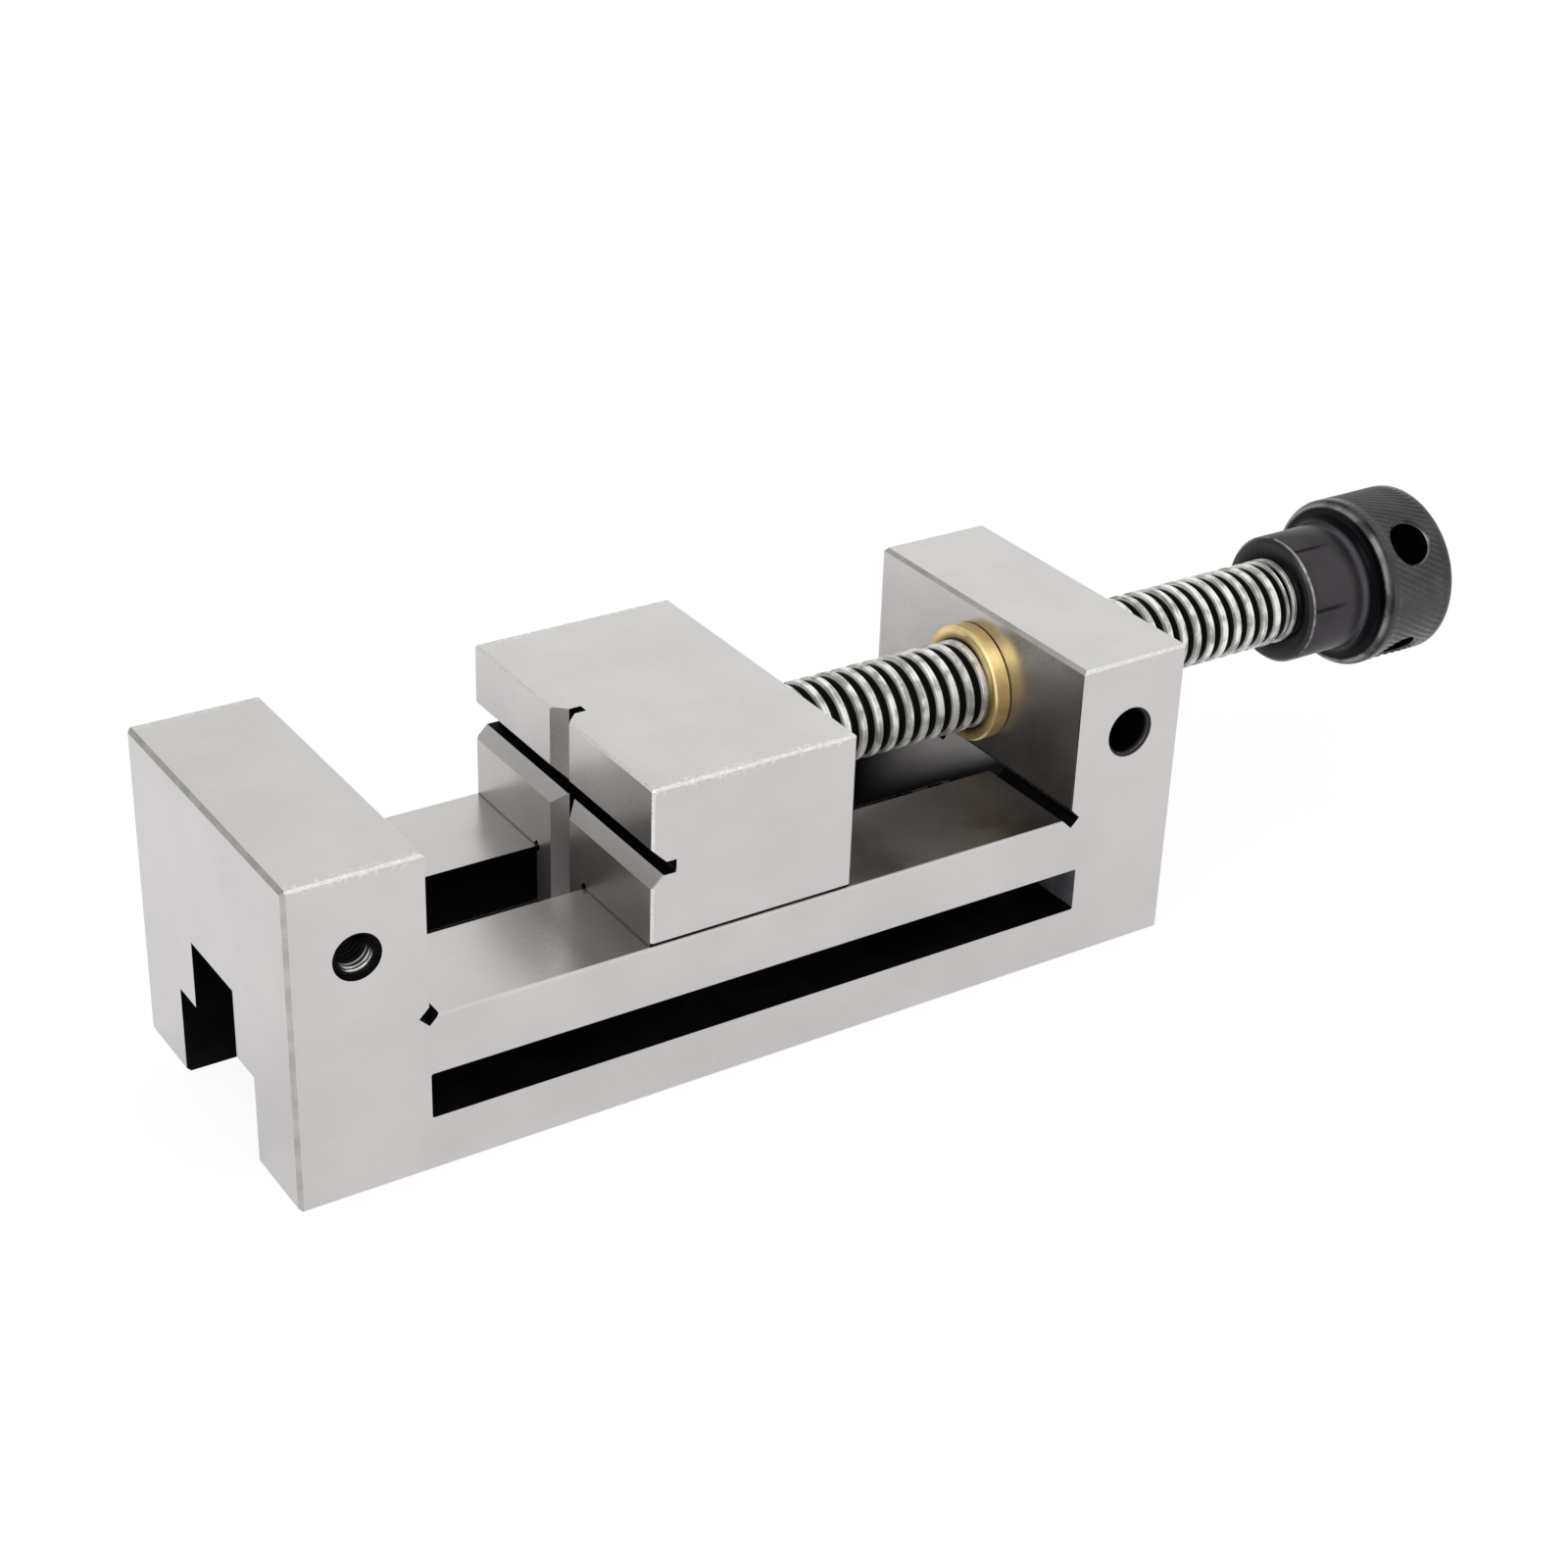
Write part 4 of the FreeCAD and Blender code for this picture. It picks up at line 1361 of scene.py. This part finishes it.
def makeHoleTool(angle):
    # a round bar through the head whose ends flare out along the head's curve
    look = knobLook
    head, hole, flare = look["headRadius"] * mm, look["holeRadius"], look["holeChamfer"]
    segments, past = 64, 2 * mm
    out = Vector((0, math.cos(angle), math.sin(angle)))
    side = Vector((0, -math.sin(angle), math.cos(angle)))
    bm = bmesh.new()
    rings = []
    mouth = hole + flare + past
    for rho, lift, sign in ((mouth, past, -1), (hole, -flare, -1), (hole, -flare, 1), (mouth, past, 1)):
        ring = []
        for number in range(segments):
            turn = 2 * math.pi * number / segments
            across = rho * math.sin(turn)
            reach = math.sqrt(head * head - across * across) + lift
            along = Vector((rho * math.cos(turn), 0, 0))
            ring.append(bm.verts.new(out * sign * reach + side * across + along))
        rings.append(ring)
    skinRings(bm, rings)
    for end in (rings[0], rings[-1]):
        capRing(bm, end, sum((v.co for v in end), Vector()) / segments)
    bm.transform(Matrix.Translation((look["holeX"], 0, place["axisHeight"] * mm)))
    return takeMesh(bm, "holeTool")


def markHoles(mesh):
    # the flared mouths of the tommy holes are rubbed and share that painted highlight, their bores stay
    # black
    look = knobLook
    hole, head = look["holeRadius"], look["headRadius"] * mm
    middle = Vector((look["holeX"], 0, place["axisHeight"] * mm))
    for face in mesh.polygons:
        for degrees in look["holeAngles"]:
            angle = math.radians(degrees)
            out = Vector((0, math.cos(angle), math.sin(angle)))
            along = (face.center - middle).dot(out)
            side = face.center - middle - out * along
            if face.normal.dot(side.normalized()) > -0.55:
                continue
            if side.length < hole * 1.002:
                face.material_index = look["coats"].index("scale")
            elif side.length < hole + look["holeChamfer"] * 1.4 and abs(along) > head - 3 * mm:
                face.material_index = look["coats"].index("oxideWornSheen")


def makeKnurledKnob():
    look = knobLook
    start = look["knurlStart"]
    mesh = grow(
        knurlTree,
        {
            "Radius": look["headRadius"] * mm,
            "Depth": look["depth"],
            "Ridges": look["ridges"],
            "Lean": look["lean"],
            "Length": look["knurlLength"],
            "Rows": look["rows"],
            "Columns": look["columns"],
            "Run Out": look["runOut"],
            "Material": finish["oxide"],
        },
    )
    bm = tubeCopy(mesh)
    low, high = boundaryRings(bm)
    closeRing(bm, extendRing(bm, low, fromStart(look["front"], start), look["frontFinish"]))
    closeRing(bm, extendRing(bm, high, fromStart(look["back"], start), look["backFinish"]))
    bm.transform(Matrix.Translation((start, 0, place["axisHeight"] * mm)))
    mesh = toMesh(bm, "knurledKnob", look["coats"], 40.0)
    for angle in look["holeAngles"]:
        mesh = cutWith(mesh, makeHoleTool(math.radians(angle)))
    markHoles(mesh)
    mesh.set_sharp_from_angle(angle=math.radians(40))
    return addPiece("knurled_knob", mesh, "screw", "black_oxide", "knob")


knurledKnob = makeKnurledKnob()
print("knob:", len(knurledKnob.data.polygons), "faces")


# keeper plate, its cap screws and the small hidden pieces
capLook = {
    "spacing": 26.0 * mm,
    "headRadius": 5.0 * mm,
    "headHeight": 6.0 * mm,
    "shankRadius": 3.0 * mm,
    "shankLength": 16.0 * mm,
    "chamfer": 0.35 * mm,
    "underBreak": 0.15 * mm,
    "socket": 5.0 * mm,
    "socketDepth": 3.0 * mm,
    "grips": 36,
    "gripDepth": 0.12 * mm,
}


def makeCapScrewMesh():
    # underside of the head at z 0, head below and shank above
    look = capLook
    head, tall, cham = look["headRadius"], look["headHeight"], look["chamfer"]
    shank, tip, under = look["shankRadius"], look["shankLength"], look["underBreak"]

    def ring(bm, count, radius, z, ripple=0.0):
        verts = []
        for number in range(count):
            turn = 2 * math.pi * number / count
            r = radius - ripple * (0.5 + 0.5 * math.cos(look["grips"] * turn))
            verts.append(bm.verts.new((r * math.cos(turn), r * math.sin(turn), z)))
        return verts

    outline = [
        (shank - cham, tip),
        (shank, tip - cham),
        (shank, 0),
        (head - under, 0),
        (head, -under, look["gripDepth"]),
        (head, cham - tall, look["gripDepth"]),
        (head - cham, -tall),
    ]
    bm = bmesh.new()
    rings = [ring(bm, look["grips"] * 4, *step) for step in outline]
    skinRings(bm, rings)
    bm.faces.new(rings[0])
    bm.faces.new(rings[-1])

    # hexagonal socket with a small countersink
    tool = bmesh.new()
    outer = look["socket"] / math.sqrt(3)
    floor = -tall + look["socketDepth"]
    depths = ((outer * 1.2, -tall - 0.5 * mm), (outer, under - tall), (outer, floor))
    hexes = [ring(tool, 6, *step) for step in depths]
    skinRings(tool, hexes)
    tool.faces.new(hexes[0])
    capRing(tool, hexes[-1], (0, 0, floor + 0.8 * mm))
    return cutWith(takeMesh(bm, "capBlank"), takeMesh(tool, "socketTool"))


def makeKeeperScrews():
    low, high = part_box("keeper_screw_1")
    first = Vector(((low.x + high.x) / 2, 0, low.z + capLook["headHeight"]))
    mesh = grow(
        screwRowTree,
        {"Count": 2, "Spacing": capLook["spacing"], "First": first, "Material": finish["oxide"]},
        makeCapScrewMesh(),
    )
    smoothMesh(mesh, 30.0)
    return addPiece("keeper_cap_screws", mesh, "jaw", "black_oxide", "keeper_screw_1", "keeper_screw_2")


makeKeeperScrews()


def makeKeeper():
    coats = ["ground", "scale", "edge"]
    bm = groundCopy("keeper_plate", coats, lambda c, n: "ground")
    breakEdges(bm, jawLook["edgeWidth"])
    splitLarge(bm)
    mesh = toMesh(bm, "groundKeeper", coats)
    return addPiece("ground_keeper", mesh, "jaw", "ground_steel", "keeper_plate")


addWeighted(makeKeeper())

for name, look in (("retaining_pin", "ground"), ("knob_pin", "ground"), ("nut_lock_screw", "oxide")):
    nodes[name].data.materials.clear()
    nodes[name].data.materials.append(finish[look])
print("keeper and small pieces done")


# floor, light and camera
studio = {
    "floorSize": 12.0,
    "floorColour": (0.9, 0.9, 0.9, 1),
    "floorGlow": 0.88,
    "floorGlossy": 0.45,
    "floorSeen": 1.03,
    "floorMirrored": (0.96, 0.945, 0.985, 1),
    "skyLevel": 1.0,
    "dimLevel": 0.66,
    "dimWay": (-0.477, 0.73, 0.49),
    "dimWidth": 0.9,
    "keyPower": 3.0,
    "keySpot": (-0.5, -0.55, 0.95),
    "keySize": 0.7,
    "keyAim": (0.1, 0.0, 0.04),
    # the camera, fitted to the photograph
    "lens": 64.3,
    "spot": (-0.191315, -0.434803, 0.324646),
    "right": (0.83811, -0.54449, 0.03309),
    "up": (0.23577, 0.41629, 0.87813),
}


def addFloor():
    half = studio["floorSize"] / 2
    mesh = bpy.data.meshes.new("floor")
    corners = [(-half, -half, 0), (half, -half, 0), (half, half, 0), (-half, half, 0)]
    mesh.from_pydata(corners, [], [(0, 1, 2, 3)])
    material = bpy.data.materials.new("paleFloor")
    material.use_nodes = True
    tree = material.node_tree
    tree.nodes.clear()
    path = tree.nodes.new("ShaderNodeLightPath").outputs
    seen = times(tree, path["Is Camera Ray"], studio["floorGlow"])
    mirrored = calc(tree, "MAXIMUM", path["Is Glossy Ray"], path["Is Transmission Ray"])
    seen = calc(tree, "MULTIPLY_ADD", mirrored, studio["floorGlossy"], seen)
    plain = tree.nodes.new("ShaderNodeBsdfDiffuse")
    plain.inputs["Color"].default_value = studio["floorColour"]
    glow = tree.nodes.new("ShaderNodeEmission")
    direct = path["Is Camera Ray"]
    feed(tree, mixColours(tree, direct, studio["floorMirrored"], (1, 1, 1, 1)), glow.inputs["Color"])
    feed(tree, blendFloat(tree, direct, 1.0, studio["floorSeen"]), glow.inputs["Strength"])
    mixed = tree.nodes.new("ShaderNodeMixShader")
    feed(tree, seen, mixed.inputs[0])
    feed(tree, plain.outputs[0], mixed.inputs[1])
    feed(tree, glow.outputs[0], mixed.inputs[2])
    feed(tree, mixed.outputs[0], tree.nodes.new("ShaderNodeOutputMaterial").inputs["Surface"])
    mesh.materials.append(material)
    floor = bpy.data.objects.new("floor", mesh)
    bpy.context.scene.collection.objects.link(floor)


def addWorld():
    world = bpy.data.worlds.new("studio")
    bpy.context.scene.world = world
    world.use_nodes = True
    tree = world.node_tree
    back = tree.nodes["Background"]
    back.inputs["Color"].default_value = (1, 1, 1, 1)
    path = tree.nodes.new("ShaderNodeLightPath").outputs
    # one side of the room is a little darker, which the slanted faces and edges show
    x, y, z = split(tree, tree.nodes.new("ShaderNodeTexCoord").outputs["Generated"])
    toward = times(tree, z, studio["dimWay"][2])
    toward = calc(tree, "MULTIPLY_ADD", y, studio["dimWay"][1], toward)
    toward = calc(tree, "MULTIPLY_ADD", x, studio["dimWay"][0], toward)
    sky = ease(tree, toward, 1.0 - studio["dimWidth"] / 2, 1.0, studio["skyLevel"], studio["dimLevel"])
    seen = calc(tree, "MAXIMUM", path["Is Camera Ray"], path["Is Transmission Ray"])
    level = blendFloat(tree, seen, sky, 1.0)
    feed(tree, level, back.inputs["Strength"])


def addLamp():
    data = bpy.data.lights.new("keyLight", "AREA")
    data.shape = "RECTANGLE"
    data.size = data.size_y = studio["keySize"]
    data.energy = studio["keyPower"]
    lamp = bpy.data.objects.new("keyLight", data)
    bpy.context.scene.collection.objects.link(lamp)
    lamp.location = studio["keySpot"]
    lamp.rotation_mode = "QUATERNION"
    aim = Vector(studio["keyAim"]) - Vector(studio["keySpot"])
    lamp.rotation_quaternion = aim.to_track_quat("-Z", "Y")


def addCamera():
    data = bpy.data.cameras.new("camera")
    data.lens = studio["lens"]
    data.sensor_width = 36.0
    camera = bpy.data.objects.new("camera", data)
    bpy.context.scene.collection.objects.link(camera)
    right, up = Vector(studio["right"]).normalized(), Vector(studio["up"]).normalized()
    back = right.cross(up)
    turn = Matrix((right, up, back)).transposed().to_4x4()
    camera.matrix_world = Matrix.Translation(studio["spot"]) @ turn
    bpy.context.scene.camera = camera


addFloor()
addWorld()
addLamp()
addCamera()
bpy.context.scene.view_settings.view_transform = "Standard"
print("stage, lights and camera done")
